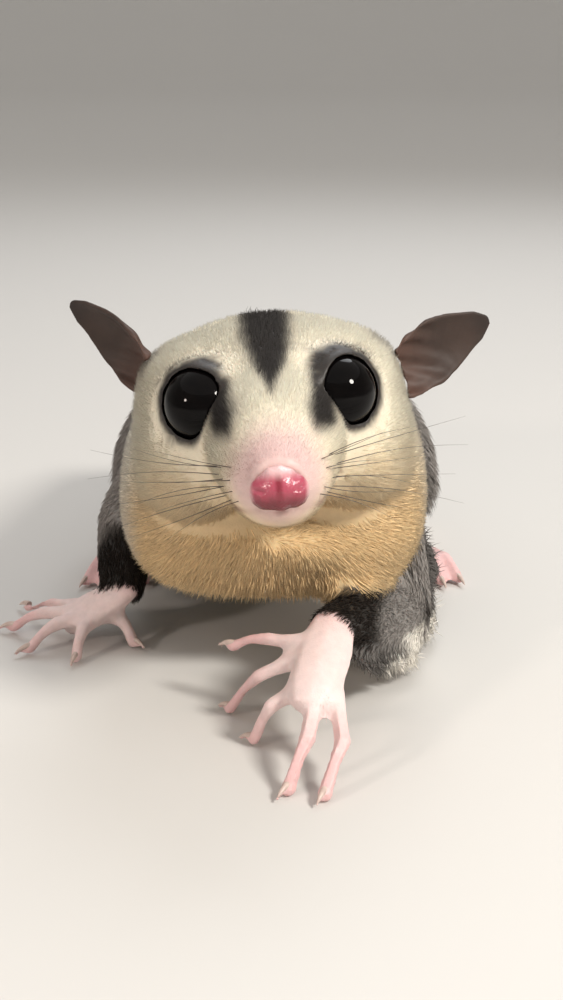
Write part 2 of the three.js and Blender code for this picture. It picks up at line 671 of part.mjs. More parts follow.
function tailLock(t, angle) {
  const length = LOCK_LENGTH * (0.85 + 0.3 * random()) * (1 - 0.35 * t);
  const end = t + length / tailCurve.getLength();
  const lean = (random() - 0.5) * 0.5;
  const stops = [
    { share: 0, radius: furReach(t) * CORE_SHARE - 1.2, width: 0.7, thick: 1 },
    { share: 0.35, radius: furReach(t) * (0.78 + 0.1 * random()), width: 1, thick: 0.9 },
    { share: 0.75, radius: furReach(Math.min(1, end)) * 0.9, width: 0.72, thick: 0.6 },
  ];
  const rings = stops.map(({ share, radius, width, thick }) => {
    const spot = t + (end - t) * share;
    const middle = besideTail(spot, angle + lean * share, radius);
    const { side, rise } = tailFrame(Math.min(spot, 1));
    const out = side.clone().multiplyScalar(Math.cos(angle)).addScaledVector(rise, Math.sin(angle));
    const along = side.clone().multiplyScalar(-Math.sin(angle)).addScaledVector(rise, Math.cos(angle));
    const halfWidth = (LOCK_WIDTH / 2) * width * (1 - 0.4 * t);
    const halfThick = (LOCK_THICKNESS / 2) * thick;
    return [
      middle.clone().addScaledVector(along, halfWidth),
      middle.clone().addScaledVector(out, halfThick),
      middle.clone().addScaledVector(along, -halfWidth),
      middle.clone().addScaledVector(out, -halfThick),
    ];
  });
  const first = besideTail(t - 0.012, angle, furReach(t) * CORE_SHARE - 2.2);
  const last = besideTail(end, angle + lean, furReach(Math.min(1, end)) * 0.98);
  if (end > 1) last.addScaledVector(tailCurve.getTangent(1), (end - 1) * tailCurve.getLength() * 0.8);
  return solidOf(skinOver(rings, first, last));
}

const wholeBase = aboveGround(limb(TAIL_PATH, TAIL_RADII, { sides: 16, steps: 22 }).subtract(bodyClear));
const cutAt = [tailCurve.getPoint(TAIL_CUT), tailCurve.getTangent(TAIL_CUT)];
place("tail_base", partAt(wholeBase, ...cutAt)[1], GREY_FUR);

const coreRadii = TAIL_RADII.map((radius, i) => radius * (i < 2 ? 0.86 : CORE_SHARE));
let brush = limb(TAIL_PATH, coreRadii, { sides: 10, steps: 12, capSteps: 2 });
for (let ring = 0; ring < LOCK_RINGS; ring++) {
  const t = LOCK_START + (0.97 - LOCK_START) * (ring / (LOCK_RINGS - 1));
  const count = Math.round(LOCKS_ROUND * (1 - 0.35 * t));
  for (let k = 0; k < count; k++) {
    const angle = (2 * Math.PI * (k + 0.5 * (ring % 2) + 0.3 * (random() - 0.5))) / count;
    brush = brush.add(tailLock(t + 0.012 * (random() - 0.5), angle));
  }
}
place("tail", partAt(aboveGround(brush), ...cutAt)[0], DARK_FUR);

// Arms, legs and membranes. A shape is a function of how much it grows, so that a neighbour can be cut clear of it.
const grown = (radii, grow) => radii.map((r) => r + grow);
const clearOf = (solid, shapes) => shapes.reduce((left, shape) => left.subtract(shape(GAP)), solid);

const arms = {};
for (const [name, { shoulder, elbow, wrist }] of Object.entries(ARMS)) {
  const fold = elbow.clone().sub(shoulder).normalize().add(wrist.clone().sub(elbow).normalize()).normalize();
  arms[name] = {
    fold,
    upper: (grow) =>
      limb([shoulder, shoulder.clone().lerp(elbow, 0.5), elbow], grown(UPPER_ARM_RADII, grow), { sides: 12, steps: 6 }),
    fore: (grow) => limb([elbow, elbow.clone().lerp(wrist, 0.5), wrist], grown(FOREARM_RADII, grow), { sides: 12, steps: 6 }),
  };
}

const legs = {};
for (const [name, { hip, knee, ankle }] of Object.entries(LEGS)) {
  const bow = v3(Math.sign(knee.x) * 1.6, 0, 0);
  legs[name] = {
    thigh: (grow) => limb([hip, hip.clone().lerp(knee, 0.5).add(bow), knee], grown(THIGH_RADII, grow), { sides: 14, steps: 6 }),
    shin: (grow) =>
      limb(
        [knee.clone().add(v3(0, -1, -2)), knee.clone().lerp(ankle, 0.5).add(v3(0, 0, -2)), ankle],
        grown(SHIN_RADII, grow),
        { sides: 9, steps: 5, capSteps: 2 },
      ),
  };
}

for (const side of ["left", "right"]) {
  const arm = arms[side];
  const leg = legs[side];
  const { elbow, wrist } = ARMS[side];
  const hand = HANDS[side];
  const wristWay = hand.palm.clone().sub(elbow).normalize();
  place("thigh_" + side, clearOf(leg.thigh(0), [trunk]), GREY_FUR);
  const [, upperArm] = partAt(clearOf(arm.upper(0), [trunk, leg.thigh]), elbow, arm.fold);
  place("upper_arm_" + side, upperArm, GREY_FUR);
  const [lowerArm] = partAt(clearOf(arm.fore(0), [trunk, leg.thigh]), elbow, arm.fold);
  const [, forearm] = partAt(lowerArm, wrist, wristWay);
  place("forearm_" + side, aboveGround(forearm), DARK_FUR);
  place("shin_" + side, aboveGround(clearOf(leg.shin(0), [trunk, leg.thigh])), GREY_FUR);

  const fold = membrane(MEMBRANES[side], side === "left" ? 1 : -1);
  place("membrane_" + side, clearOf(fold, [trunk, leg.thigh, leg.shin, arm.upper, arm.fore]), DARK_FUR);

  const palmWay = hand.palm.clone().sub(wrist);
  const palm = limb(
    [
      wrist.clone().addScaledVector(palmWay, -0.1),
      wrist.clone().addScaledVector(palmWay, 0.5),
      hand.palm.clone().addScaledVector(palmWay, 0.35),
    ],
    [2.8, 3.2, 3.0],
    { sides: 8, steps: 5, capSteps: 2, flat: 0.62, up: v3(0, -0.3, 1) },
  );
  const digits = hand.digits.map((points) => digit(points, FINGER_RADIUS));
  const [handOnly] = partAt(aboveGround(joined([palm, ...digits])), wrist, wristWay);
  place("hand_" + side, handOnly, HAND_PINK);
  place("foot_" + side, clearOf(foot(LEGS[side], side === "left" ? 1 : -1), [trunk, leg.thigh, leg.shin]), HAND_PINK);
}

// Stand the part on the middle of its own footprint
const box = new THREE.Box3().setFromObject(glider);
const middle = box.getCenter(new THREE.Vector3());
glider.position.set(-middle.x, -middle.y, -box.min.z);

export default glider;
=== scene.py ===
import math

import bmesh
import bpy
import numpy as np
from mathutils import Matrix, Vector
from mathutils.bvhtree import BVHTree


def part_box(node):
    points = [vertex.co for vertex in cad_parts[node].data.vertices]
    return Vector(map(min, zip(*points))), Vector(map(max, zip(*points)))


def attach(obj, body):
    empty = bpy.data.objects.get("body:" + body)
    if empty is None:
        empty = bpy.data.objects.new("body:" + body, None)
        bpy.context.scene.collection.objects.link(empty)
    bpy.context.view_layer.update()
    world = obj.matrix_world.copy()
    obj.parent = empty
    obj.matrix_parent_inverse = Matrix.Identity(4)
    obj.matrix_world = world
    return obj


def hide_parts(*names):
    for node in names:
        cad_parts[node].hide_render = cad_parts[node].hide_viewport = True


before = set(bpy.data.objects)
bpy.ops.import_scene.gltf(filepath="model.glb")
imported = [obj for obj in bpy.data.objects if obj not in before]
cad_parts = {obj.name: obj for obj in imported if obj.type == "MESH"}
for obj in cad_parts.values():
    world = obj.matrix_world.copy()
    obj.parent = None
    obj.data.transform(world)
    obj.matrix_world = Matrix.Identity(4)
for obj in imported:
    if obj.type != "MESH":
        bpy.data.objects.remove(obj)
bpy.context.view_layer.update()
bpy.ops.object.select_all(action="DESELECT")


# Room: a pale seamless floor and soft studio light
# The camera looks down a little on the animal from close in front of its nose, as the picture does.
# Places are set out from a mark on the floor, almost straight below the point between the two eyes.
MM = 0.001
EYES_ASIDE = 0.3 * MM
EYES_BEHIND = 0.2 * MM
left_eye_low, left_eye_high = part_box("eye_left")
right_eye_low, right_eye_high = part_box("eye_right")
left_eye_centre = (left_eye_low + left_eye_high) / 2
right_eye_centre = (right_eye_low + right_eye_high) / 2
between_eyes = (left_eye_centre + right_eye_centre) / 2
ground_mark = Vector((between_eyes.x + EYES_ASIDE, between_eyes.y - EYES_BEHIND, 0))

CAMERA_PLACE = Vector((1.06 * MM, -155.9 * MM, 77.6 * MM))
CAMERA_PITCH = math.radians(72)
camera_data = bpy.data.cameras.new("camera")
camera_data.lens = 48.96
camera_data.sensor_width = 36
camera_data.clip_start = 5 * MM
camera = bpy.data.objects.new("camera", camera_data)
bpy.context.scene.collection.objects.link(camera)
camera.location = ground_mark + CAMERA_PLACE
camera.rotation_euler = (CAMERA_PITCH, 0, 0)
bpy.context.scene.camera = camera

# The floor sweeps up into a round wall far away, so that no horizon line shows behind the animal.
INNER_REACH = 2
FLAT_REACH = 3
SWEEP_RADIUS = 2
SWEEP_STEPS = 8
WALL_TOP = 4
floor = bpy.data.objects.new("floor", bpy.data.meshes.new("floor"))
bpy.context.scene.collection.objects.link(floor)
sweep = bmesh.new()
profile = [sweep.verts.new((0, 0, 0)), sweep.verts.new((INNER_REACH, 0, 0))]
for step in range(SWEEP_STEPS + 1):
    bend = math.radians(90 * step / SWEEP_STEPS)
    outwards = FLAT_REACH + SWEEP_RADIUS * math.sin(bend)
    upwards = SWEEP_RADIUS - SWEEP_RADIUS * math.cos(bend)
    profile.append(sweep.verts.new((outwards, 0, upwards)))
profile.append(sweep.verts.new((FLAT_REACH + SWEEP_RADIUS, 0, WALL_TOP)))
lines = [sweep.edges.new(ends) for ends in zip(profile, profile[1:])]
bmesh.ops.spin(
    sweep, geom=profile + lines, cent=(0, 0, 0), axis=(0, 0, 1), angle=math.tau, steps=64, use_merge=True
)
bmesh.ops.remove_doubles(sweep, verts=sweep.verts, dist=0.1 * MM)
bmesh.ops.recalc_face_normals(sweep, faces=sweep.faces)
sweep.to_mesh(floor.data)
sweep.free()


def smooth_faces(piece):
    for polygon in piece.data.polygons:
        polygon.use_smooth = True


def new_paint(name, looks):
    """A new material, whose shader has these values all over the surface."""
    material = bpy.data.materials.new(name)
    material.use_nodes = True
    shader = material.node_tree.nodes["Principled BSDF"]
    for socket, value in looks.items():
        shader.inputs[socket].default_value = value
    return material


smooth_faces(floor)
floor_paint = new_paint("floor_paint", {"Base Color": (0.63, 0.62, 0.60, 1), "Roughness": 0.85})
floor.data.materials.append(floor_paint)

world = bpy.data.worlds.new("studio")
bpy.context.scene.world = world
world.use_nodes = True
world.node_tree.nodes["Background"].inputs["Color"].default_value = (0.86, 0.83, 0.80, 1)
world.node_tree.nodes["Background"].inputs["Strength"].default_value = 0.8
bpy.context.scene.view_settings.view_transform = "Standard"


def softbox(name, place, size, power, tint):
    """A round lamp at a place in metres from between the eyes, turned to face them."""
    lamp = bpy.data.lights.new(name, "AREA")
    lamp.shape = "DISK"
    lamp.size = size
    lamp.energy = power
    lamp.color = tint
    holder = bpy.data.objects.new(name, lamp)
    bpy.context.scene.collection.objects.link(holder)
    holder.location = between_eyes + Vector(place)
    holder.rotation_euler = (-Vector(place)).to_track_quat("-Z", "Y").to_euler()


softbox("key_light", (0.30, -0.24, 0.30), size=0.10, power=2.5, tint=(1.0, 0.95, 0.88))
softbox("fill_light", (-0.30, -0.24, 0.13), size=0.05, power=0.42, tint=(1.0, 0.87, 0.78))
softbox("back_light", (0.10, 0.40, 0.44), size=0.30, power=1.1, tint=(0.95, 0.97, 1.0))


# Skin: one soft hide over the whole body
# The hide is a single surface from the lips to the end of the tail's flesh, so no seam shows anywhere.
# It lies a little below the coat, and comes to the surface on the hands, feet and lids.
FLESH = [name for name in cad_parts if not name.startswith(("eye", "nose", "ear")) and name != "tail"]
MERGE_REACH = 0.002 * MM
SEAM_CLOSING = 0.25 * MM
HIDE_GRAIN = 0.36 * MM
HIDE_FACES = 190000
PALM_SWELLING = 0.5 * MM
PALM_REACH = 11 * MM
KNUCKLE_RADIUS = 1.16 * MM
FINGERTIP_RADIUS = 1.12 * MM

# The places of palms, knuckles, fingertips and bones are in millimetres from the ground mark.
PALMS = {"left": Vector((5.3, -11.4, 9.2)), "right": Vector((-25.4, 19.4, 4.6))}
KNUCKLES = {
    "left": [(-0.8, -4.2, 10.6), (-1.7, -7.4, 7.2), (-0.3, -12.8, 5.8), (4, -19.6, 5.4), (8, -19.4, 4.8)],
    "right": [(-21, 17.8, 3.8), (-26, 14.4, 3.8), (-30, 16.4, 3.7), (-32.4, 20.6, 3.6), (-31.6, 25, 3.4)],
}
FINGERTIPS = {
    "left": [(-5, -1.6, 8.4), (-5.4, -3.6, 0.9), (-2.2, -11.6, 0.9), (1.8, -22.8, 0.9), (5.8, -24, 0.9)],
    "right": [
        (-19.4, 16.6, 0.9),
        (-26.6, 11.6, 0.9),
        (-33.4, 14.4, 0.9),
        (-37, 21.8, 0.9),
        (-36.2, 29.4, 0.9),
    ],
}


def pick(piece, *others):
    """Selects these pieces alone, and makes the first of them active."""
    bpy.ops.object.select_all(action="DESELECT")
    for chosen in (piece, *others):
        chosen.select_set(True)
    bpy.context.view_layer.objects.active = piece


def copy_of(name):
    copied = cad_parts[name].copy()
    copied.data = copied.data.copy()
    bpy.context.scene.collection.objects.link(copied)
    return copied


def merged_shape(piece):
    """The piece's own shape with its loose triangles joined, ready to be changed."""
    shape = bmesh.new()
    shape.from_mesh(piece.data)
    bmesh.ops.remove_doubles(shape, verts=shape.verts, dist=MERGE_REACH)
    shape.normal_update()
    return shape


solid_points = []
solid_faces = []
solid_owner = []
flesh_copies = []
for name in FLESH:
    flesh = copy_of(name)
    flesh_copies.append(flesh)
    shape = merged_shape(flesh)
    first = len(solid_points)
    solid_points += [v.co.copy() for v in shape.verts]
    solid_faces += [[first + v.index for v in f.verts] for f in shape.faces]
    solid_owner += [name] * len(shape.faces)
    for v in shape.verts:
        plump = 0
        if name.startswith("hand"):
            palm = PALMS[name.removeprefix("hand_")]
            plump = PALM_SWELLING * max(0, 1 - (v.co - ground_mark - palm * MM).length / PALM_REACH)
        v.co += v.normal * (SEAM_CLOSING + plump)
    shape.to_mesh(flesh.data)
    shape.free()
solid_tree = BVHTree.FromPolygons(solid_points, solid_faces)


def new_line(name, thickness, roundness):
    line = bpy.data.curves.new(name, "CURVE")
    line.dimensions = "3D"
    line.bevel_depth = thickness
    line.bevel_resolution = roundness
    return line


def add_run(line, kind, places, radii):
    """Adds a run through places in millimetres from the ground mark, with its share of thickness at each."""
    run = line.splines.new(kind)
    run.points.add(len(places) - 1)
    for point, place, radius in zip(run.points, places, radii):
        point.co = (*(ground_mark + place * MM), 1)
        point.radius = radius
    return run


def mesh_of(line, name):
    piece = bpy.data.objects.new(name, line)
    bpy.context.scene.collection.objects.link(piece)
    pick(piece)
    bpy.ops.object.convert(target="MESH")
    return piece


# The tail's bone and flesh are thin under the long hair.
TAIL_BONES = [
    Vector((0, 78, 12.5)),
    Vector((0, 92, 11)),
    Vector((-0.4, 112, 9.6)),
    Vector((-1.6, 138, 8.8)),
    Vector((-3.2, 165, 7.6)),
    Vector((-5, 192, 5.8)),
    Vector((-7, 216, 4.2)),
]
TAIL_ROOT_RADIUS = 5.5
THINNING_PER_BONE = 0.68
tail_line = new_line("tail_line", thickness=1 * MM, roundness=4)
tail_line.resolution_u = 8
tail_line.use_fill_caps = True
tail_radii = [TAIL_ROOT_RADIUS - THINNING_PER_BONE * step for step in range(len(TAIL_BONES))]
add_run(tail_line, "NURBS", TAIL_BONES, tail_radii).use_endpoint_u = True
tail_flesh = mesh_of(tail_line, "tail_flesh")

for side in PALMS:
    for knuckle, fingertip in zip(KNUCKLES[side], FINGERTIPS[side]):
        for place, radius in ((knuckle, KNUCKLE_RADIUS), (fingertip, FINGERTIP_RADIUS)):
            bpy.ops.mesh.primitive_ico_sphere_add(
                subdivisions=2, radius=radius, location=ground_mark + Vector(place) * MM
            )
            flesh_copies.append(bpy.context.object)
pick(*flesh_copies, tail_flesh)
bpy.ops.object.join()
skin = flesh_copies[0]
skin.name = "skin"
skin.data.name = "skin"
skin.data.remesh_voxel_size = HIDE_GRAIN
bpy.ops.object.voxel_remesh()


def points_of(piece):
    spots = np.empty(len(piece.data.vertices) * 3)
    piece.data.vertices.foreach_get("co", spots)
    return spots.reshape(-1, 3)


def move_points(piece, spots):
    piece.data.vertices.foreach_set("co", spots.ravel())
    piece.data.update()


def normals_of(piece):
    ways = np.empty(len(piece.data.vertices) * 3)
    piece.data.vertices.foreach_get("normal", ways)
    return ways.reshape(-1, 3)


def spread(piece, values, rounds, share=0.5):
    """Evens out a value, or the places themselves, from each point to its neighbours."""
    ends = np.empty(len(piece.data.edges) * 2, dtype=np.int64)
    piece.data.edges.foreach_get("vertices", ends)
    a, b = ends.reshape(-1, 2).T
    count = len(piece.data.vertices)
    neighbours = np.bincount(a, minlength=count) + np.bincount(b, minlength=count)
    held = values.reshape(count, -1).astype(float)
    keep = np.broadcast_to(np.asarray(share, dtype=float).reshape(-1, 1), (count, 1))
    for _ in range(rounds):
        total = np.empty_like(held)
        for column in range(held.shape[1]):
            total[:, column] = np.bincount(a, held[b, column], count) + np.bincount(b, held[a, column], count)
        held += keep * (total / neighbours[:, None] - held)
    return held.reshape(values.shape)


def fade(value, low, high):
    """Rises smoothly from nought at low to one at high."""
    share = np.clip((value - low) / (high - low), 0, 1)
    return share * share * (3 - 2 * share)


def on_animal(spots):
    """Places in millimetres from the ground mark: x to its left, y to its tail, z up."""
    return (spots - np.array(ground_mark)) / MM


HEAD_CENTRE = (-0.3, 0, 39.5)
head_turn = np.array(
    Matrix.Rotation(math.radians(-8), 3, "X")
    @ Matrix.Rotation(math.radians(-4.8), 3, "Y")
    @ Matrix.Rotation(math.radians(1.5), 3, "Z")
)


def on_head(spots):
    """Places in millimetres in the head's own axes, from midway between the eyes."""
    return (on_animal(spots) - np.array(HEAD_CENTRE)) @ head_turn


def from_eyes(spots):
    """Distance in millimetres from the middle of the nearer eyeball."""
    left_gap = np.linalg.norm(spots - np.array(left_eye_centre), axis=1)
    right_gap = np.linalg.norm(spots - np.array(right_eye_centre), axis=1)
    return np.minimum(left_gap, right_gap) / MM


# One half of the mouth in the head's own axes, from the middle of the lips to the corner.
MOUTH_LINE = [
    (0, -14.6, -10.6),
    (1.8, -13.9, -10.3),
    (4, -11.4, -10.6),
    (6.2, -7.2, -10.6),
    (7.4, -3.2, -9.6),
]


def from_mouth(head):
    """Distance in millimetres from the line where the lips meet, which is the same on both sides."""
    folded = head.copy()
    folded[:, 0] = np.abs(folded[:, 0])
    nearest = np.full(len(head), np.inf)
    for start, end in zip(MOUTH_LINE, MOUTH_LINE[1:]):
        start, way = np.array(start), np.array(end) - np.array(start)
        share = np.clip((folded - start) @ way / (way @ way), 0, 1)
        nearest = np.minimum(nearest, np.linalg.norm(folded - start - share[:, None] * way, axis=1))
    return nearest


def pair(*names):
    """The names of the left and right parts of these kinds."""
    return [name + side for name in names for side in ("_left", "_right")]


def inside_boxes(spots, names):
    """Whether each place is inside the box of one of the named parts, or just outside it."""
    margin = 0.2 * MM
    inside = np.zeros(len(spots), dtype=bool)
    for name in names:
        low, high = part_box(name)
        inside |= ((spots > np.array(low) - margin) & (spots < np.array(high) + margin)).all(axis=1)
    return inside


# The flesh is smoothed until no solid's edge shows, but least on the fingers, the lids and the nose.
FLESH_SOFTNESS = 0.6
FINGER_SOFTNESS = 0.12
LID_SOFTNESS = 0.03
MUZZLE_SOFTNESS = 0.15
LID_EDGE = (5.45, 6.3)
SNOUT_EDGE = (-14, -9)
FLESH_ROUNDS = 80
JOWL_SOFTNESS = 0.65
JOWL_ROUNDS = 160
spots = points_of(skin)
head = on_head(spots)
softness = np.full(len(spots), FLESH_SOFTNESS)
softness[inside_boxes(spots, pair("hand", "foot"))] = FINGER_SOFTNESS
softness *= LID_SOFTNESS + (1 - LID_SOFTNESS) * fade(from_eyes(spots), *LID_EDGE)
softness *= MUZZLE_SOFTNESS + (1 - MUZZLE_SOFTNESS) * fade(head[:, 1], *SNOUT_EDGE)
move_points(skin, spread(skin, spots, FLESH_ROUNDS, softness))

# Cheeks, jaw and throat flow into one another in a loose fold of skin.
spots = points_of(skin)
y, z = on_animal(spots)[:, 1:].T
jowl = fade(y, -2, 4) * (1 - fade(y, 26, 34)) * (1 - fade(z, 32, 36))
jowl *= fade(z, 13, 17) * fade(from_mouth(head), 0.6, 2.5) * (softness > FLESH_SOFTNESS / 2)
move_points(skin, spread(skin, spots, JOWL_ROUNDS, JOWL_SOFTNESS * jowl))
thin_out = skin.modifiers.new("thin_out", "DECIMATE")
thin_out.ratio = min(1, HIDE_FACES / (2 * len(skin.data.polygons)))
bpy.ops.object.modifier_apply(modifier="thin_out")
skin.modifiers.new("in_threes", "TRIANGULATE")
bpy.ops.object.modifier_apply(modifier="in_threes")

# Each point of the hide belongs to the part of the body that lies nearest.
TAIL_START = 90
spots = points_of(skin)
head = on_head(spots)
y, z = on_animal(spots)[:, 1:].T
owner = np.array([solid_owner[solid_tree.find_nearest(Vector(spot))[2]] for spot in spots])
owner[y > TAIL_START] = "tail"


def part(*names):
    """Whether each point of the hide belongs to one of the named parts."""
    return np.isin(owner, names)


# Hair is shortest on the hands and round the nose and eyes, and longest on the tail.
NOSE_TIP = (0, -17, -7.9)
BODY_HAIR = 3.4
BREAST_HAIR = 3.2
CHEST_HAIR = 2.4
NECK_HAIR = 2.2
LIMB_HAIR = 2.2
FOREARM_HAIR = 1.7
HAND_HAIR = 0.7
MUZZLE_HAIR = 0.55
CHEEK_GAIN = 1.5
JAW_GAIN = 0.9
LID_HAIR = 0.6
TAIL_ROOT_HAIR = 4
BRUSH_GAIN = 10
eye_gap = from_eyes(spots)
nose_gap = np.linalg.norm(head - np.array(NOSE_TIP), axis=1)
on_face = part("head")
on_tail = part("tail", "tail_base")
hands_and_feet = part(*pair("hand", "foot"))
under_jaw = on_face & (head[:, 2] < -9) & (head[:, 1] > -8)
breast = part("neck", "chest") & (z < 17) & (y < 24)
hair_length = np.full(len(spots), BODY_HAIR)
hair_length[on_face] = (MUZZLE_HAIR + CHEEK_GAIN * fade(nose_gap, 3.5, 22))[on_face]
hair_length[under_jaw] += JAW_GAIN
hair_length[part("neck")] = NECK_HAIR
hair_length[part("chest")] = CHEST_HAIR + fade(y[part("chest")], 14, 40)
hair_length[part(*pair("forearm"))] = FOREARM_HAIR
hair_length[part(*pair("upper_arm", "shin", "membrane"))] = LIMB_HAIR
hair_length[on_tail] = (TAIL_ROOT_HAIR + BRUSH_GAIN * fade(y, 84, 112))[on_tail]
hair_length[hands_and_feet] = HAND_HAIR
hair_length[breast] = BREAST_HAIR
hair_length = spread(skin, hair_length, 25)
short_round_eye = LID_HAIR + 0.35 * np.maximum(eye_gap - 5.4, 0)
hair_length = np.where(on_face, np.minimum(hair_length, short_round_eye), hair_length)

# The hide sinks by a share of the hair's length, and in a crease along the mouth.
SINKING_SHARE = 0.22
MOUTH_CREASE = 0.75
hide_depth = SINKING_SHARE * hair_length * fade(nose_gap, 3.2, 5)
hide_depth[part("tail")] = 0
hide_depth[hands_and_feet] = 0
hide_depth = np.where(on_face, np.minimum(hide_depth, 0.2 * np.maximum(eye_gap - 5.6, 0)), hide_depth)
hide_depth = spread(skin, hide_depth, 12) + SEAM_CLOSING / MM * fade(nose_gap, 3.0, 4.5)
hide_depth += MOUTH_CREASE * (1 - fade(from_mouth(head), 0.25, 0.9)) * on_face
move_points(skin, spots - normals_of(skin) * hide_depth[:, None] * MM)
spots = points_of(skin)


# Markings: the same colours on the hide and on the coat
# A pale cream face with black round the eyes and a dark wedge on the brow, a golden throat, and a grey
# back with a black stripe. The wedge runs on into that stripe, and the last third of the tail is black.
CREAM = np.array([0.93, 0.85, 0.68])
GOLD = np.array([0.82, 0.58, 0.30])
GREY = np.array([0.265, 0.245, 0.23])
SOOT = np.array([0.022, 0.017, 0.014])
WHITE = np.array([0.88, 0.84, 0.77])
# Lip colour, deepened with painted shade for the crease of the mouth.
LIP_RED_AND_SHADE = np.array([0.30, 0.12, 0.11])
LILAC_SKIN = np.array([0.78, 0.53, 0.53])
HAND_SKIN = np.array([0.80, 0.64, 0.62])
FINGER_SKIN = np.array([0.74, 0.44, 0.44])
WEDGE_TIP = -9.8
WEDGE_LENGTH = 10.6
WEDGE_HALF_WIDTH = 3.0
MUZZLE_MIDDLE = (0, -16.5, -7)

# An edge is the pair of places or distances in millimetres between which one colour fades to another.
BELLY_EDGE = (11, 20)
STRIPE_EDGE = (1.7, 3.5)
FRONT_EDGE = (14, 25)
THROAT_EDGE = (2, 18)
CHEEK_EDGE = (16, 19.5)
EYE_RIM_EDGE = (5.5, 6.0)
MUZZLE_EDGE = (3.5, 9.0)
LIP_EDGE = (0.35, 0.9)
LEFT_ELBOW_EDGE = (12.5, 15)
RIGHT_ELBOW_EDGE = (23, 27)
FRINGE_EDGE = (5.4, 7.2)
HEM_EDGE = (3.8, 5.8)
THIGH_EDGE = (6, 11)
SHIN_EDGE = (5, 9)
TOE_EDGE = (42, 56)
FINGER_EDGE = (5, 12)
BLACK_TAIL_EDGE = (165, 192)


def paint(under, over, cover):
    return under + (over - under) * np.clip(cover, 0, 1)[:, None]


def ripple(spots, size, seed):
    """A soft wandering value about nought, so that no patch of colour has a ruled edge."""
    draw = np.random.default_rng(seed)
    total = np.zeros(len(spots))
    for _ in range(6):
        way = draw.normal(size=3)
        total += np.sin(spots @ way * (2 * math.pi / size) / np.linalg.norm(way) + draw.uniform(0, 6.28))
    return total / 3.5


def paint_trunk(body, head, wander):
    """Grey above and cream below, with the stripe, the pale front and the golden throat."""
    x, y, z = body.T
    forequarters = part("neck", "chest", "head")
    from_stripe = np.abs(x + 0.012 * np.maximum(y - 40, 0) + 1.3 - fade(y, 18, 34))
    ridge = 30 - 0.55 * np.maximum(y - 50, 0)
    stripe = (1 - fade(from_stripe + 0.4 * wander, *STRIPE_EDGE)) * fade(z, ridge - 6, ridge)
    pale_front = (1 - fade(y - 0.5 * (z - 34) + wander, *FRONT_EDGE)) * forequarters
    nape = fade(z - 0.35 * (20 - y), 34, 40) * fade(y, 14, 20) * (1 - fade(from_stripe, 9, 14))
    golden = fade(-head[:, 2] + 0.9 * wander, *THROAT_EDGE) * (1 - fade(y + wander, 20, 36)) * forequarters
    white_edge = fade(np.abs(x - 1), *CHEEK_EDGE) * (1 - fade(y, 14, 26)) * forequarters
    colour = np.repeat(GREY[None], len(body), axis=0)
    colour = paint(colour, CREAM * 0.95, 1 - fade(z + 1.3 * wander, *BELLY_EDGE))
    colour = paint(colour, SOOT, stripe)
    colour = paint(colour, CREAM, pale_front * (1 - nape))
    colour = paint(colour, GOLD, 0.9 * golden)
    return paint(colour, WHITE, 0.6 * white_edge)


def paint_round_eye(colour, away, nosewards, wander):
    """A black rim all round the eyeball, with a black patch and a grey streak on the nose side."""
    gap = np.linalg.norm(away, axis=1)
    rim = 1 - fade(gap + 0.15 * wander, *EYE_RIM_EDGE)
    patch = fade(nosewards, 0.2, 1.2) * (1 - fade(nosewards + 0.25 * wander, 2.7, 4.0)) * (away[:, 1] < 1)
    patch *= 1 - fade(np.abs(away[:, 2] - 0.3) + 0.3 * wander, 2.6, 4.2)
    soot = np.maximum(rim, patch)
    streak = fade(nosewards, 2.0, 4) * fade(-away[:, 2], -1, 1.5) * (1 - fade(gap, 8.5, 12.5))
    colour = paint(colour, SOOT, soot * on_face)
    return paint(colour, GREY, 0.6 * streak * on_face * (1 - soot))


def paint_face(colour, z, head, wander):
    """The wedge on the brow, the black round the eyes, the pink muzzle, the lips, dark partly in their own
    colour and partly with painted shade in the mouth's crease, and the ears' roots.
    """
    wedge = WEDGE_HALF_WIDTH * np.clip((head[:, 1] - WEDGE_TIP) / WEDGE_LENGTH, 0, 1)
    brow = 1 - fade(np.abs(head[:, 0] - 0.1) + 0.15 * wander, wedge - 0.4, wedge + 0.25)
    brow *= (head[:, 1] > WEDGE_TIP) * fade(head[:, 2], 0, 1)
    colour = paint(colour, SOOT, brow * part("head", "neck") * fade(z, 34, 38))
    for side, centre in ((1, left_eye_centre), (-1, right_eye_centre)):
        away = head - on_head(np.array([centre]))[0]
        colour = paint_round_eye(colour, away, -side * away[:, 0], wander)
    from_muzzle = np.linalg.norm(head - np.array(MUZZLE_MIDDLE), axis=1)
    muzzle = 1 - fade(from_muzzle + 0.4 * wander, *MUZZLE_EDGE)
    ear_root = fade(np.abs(head[:, 0]), 11.4, 13.2) * (1 - fade(np.abs(head[:, 1] - 8), 2, 4))
    ear_root *= fade(head[:, 2], 1, 4)
    # The lips are painted dark red: partly their own colour, partly painted shade in the crease where they
    # meet.
    lips = 1 - fade(from_mouth(head), *LIP_EDGE)
    colour = paint(colour, LILAC_SKIN, 0.85 * muzzle * on_face)
    colour = paint(colour, GREY * 0.7, 0.6 * ear_root * on_face)
    return paint(colour, LIP_RED_AND_SHADE, 0.8 * lips * on_face)


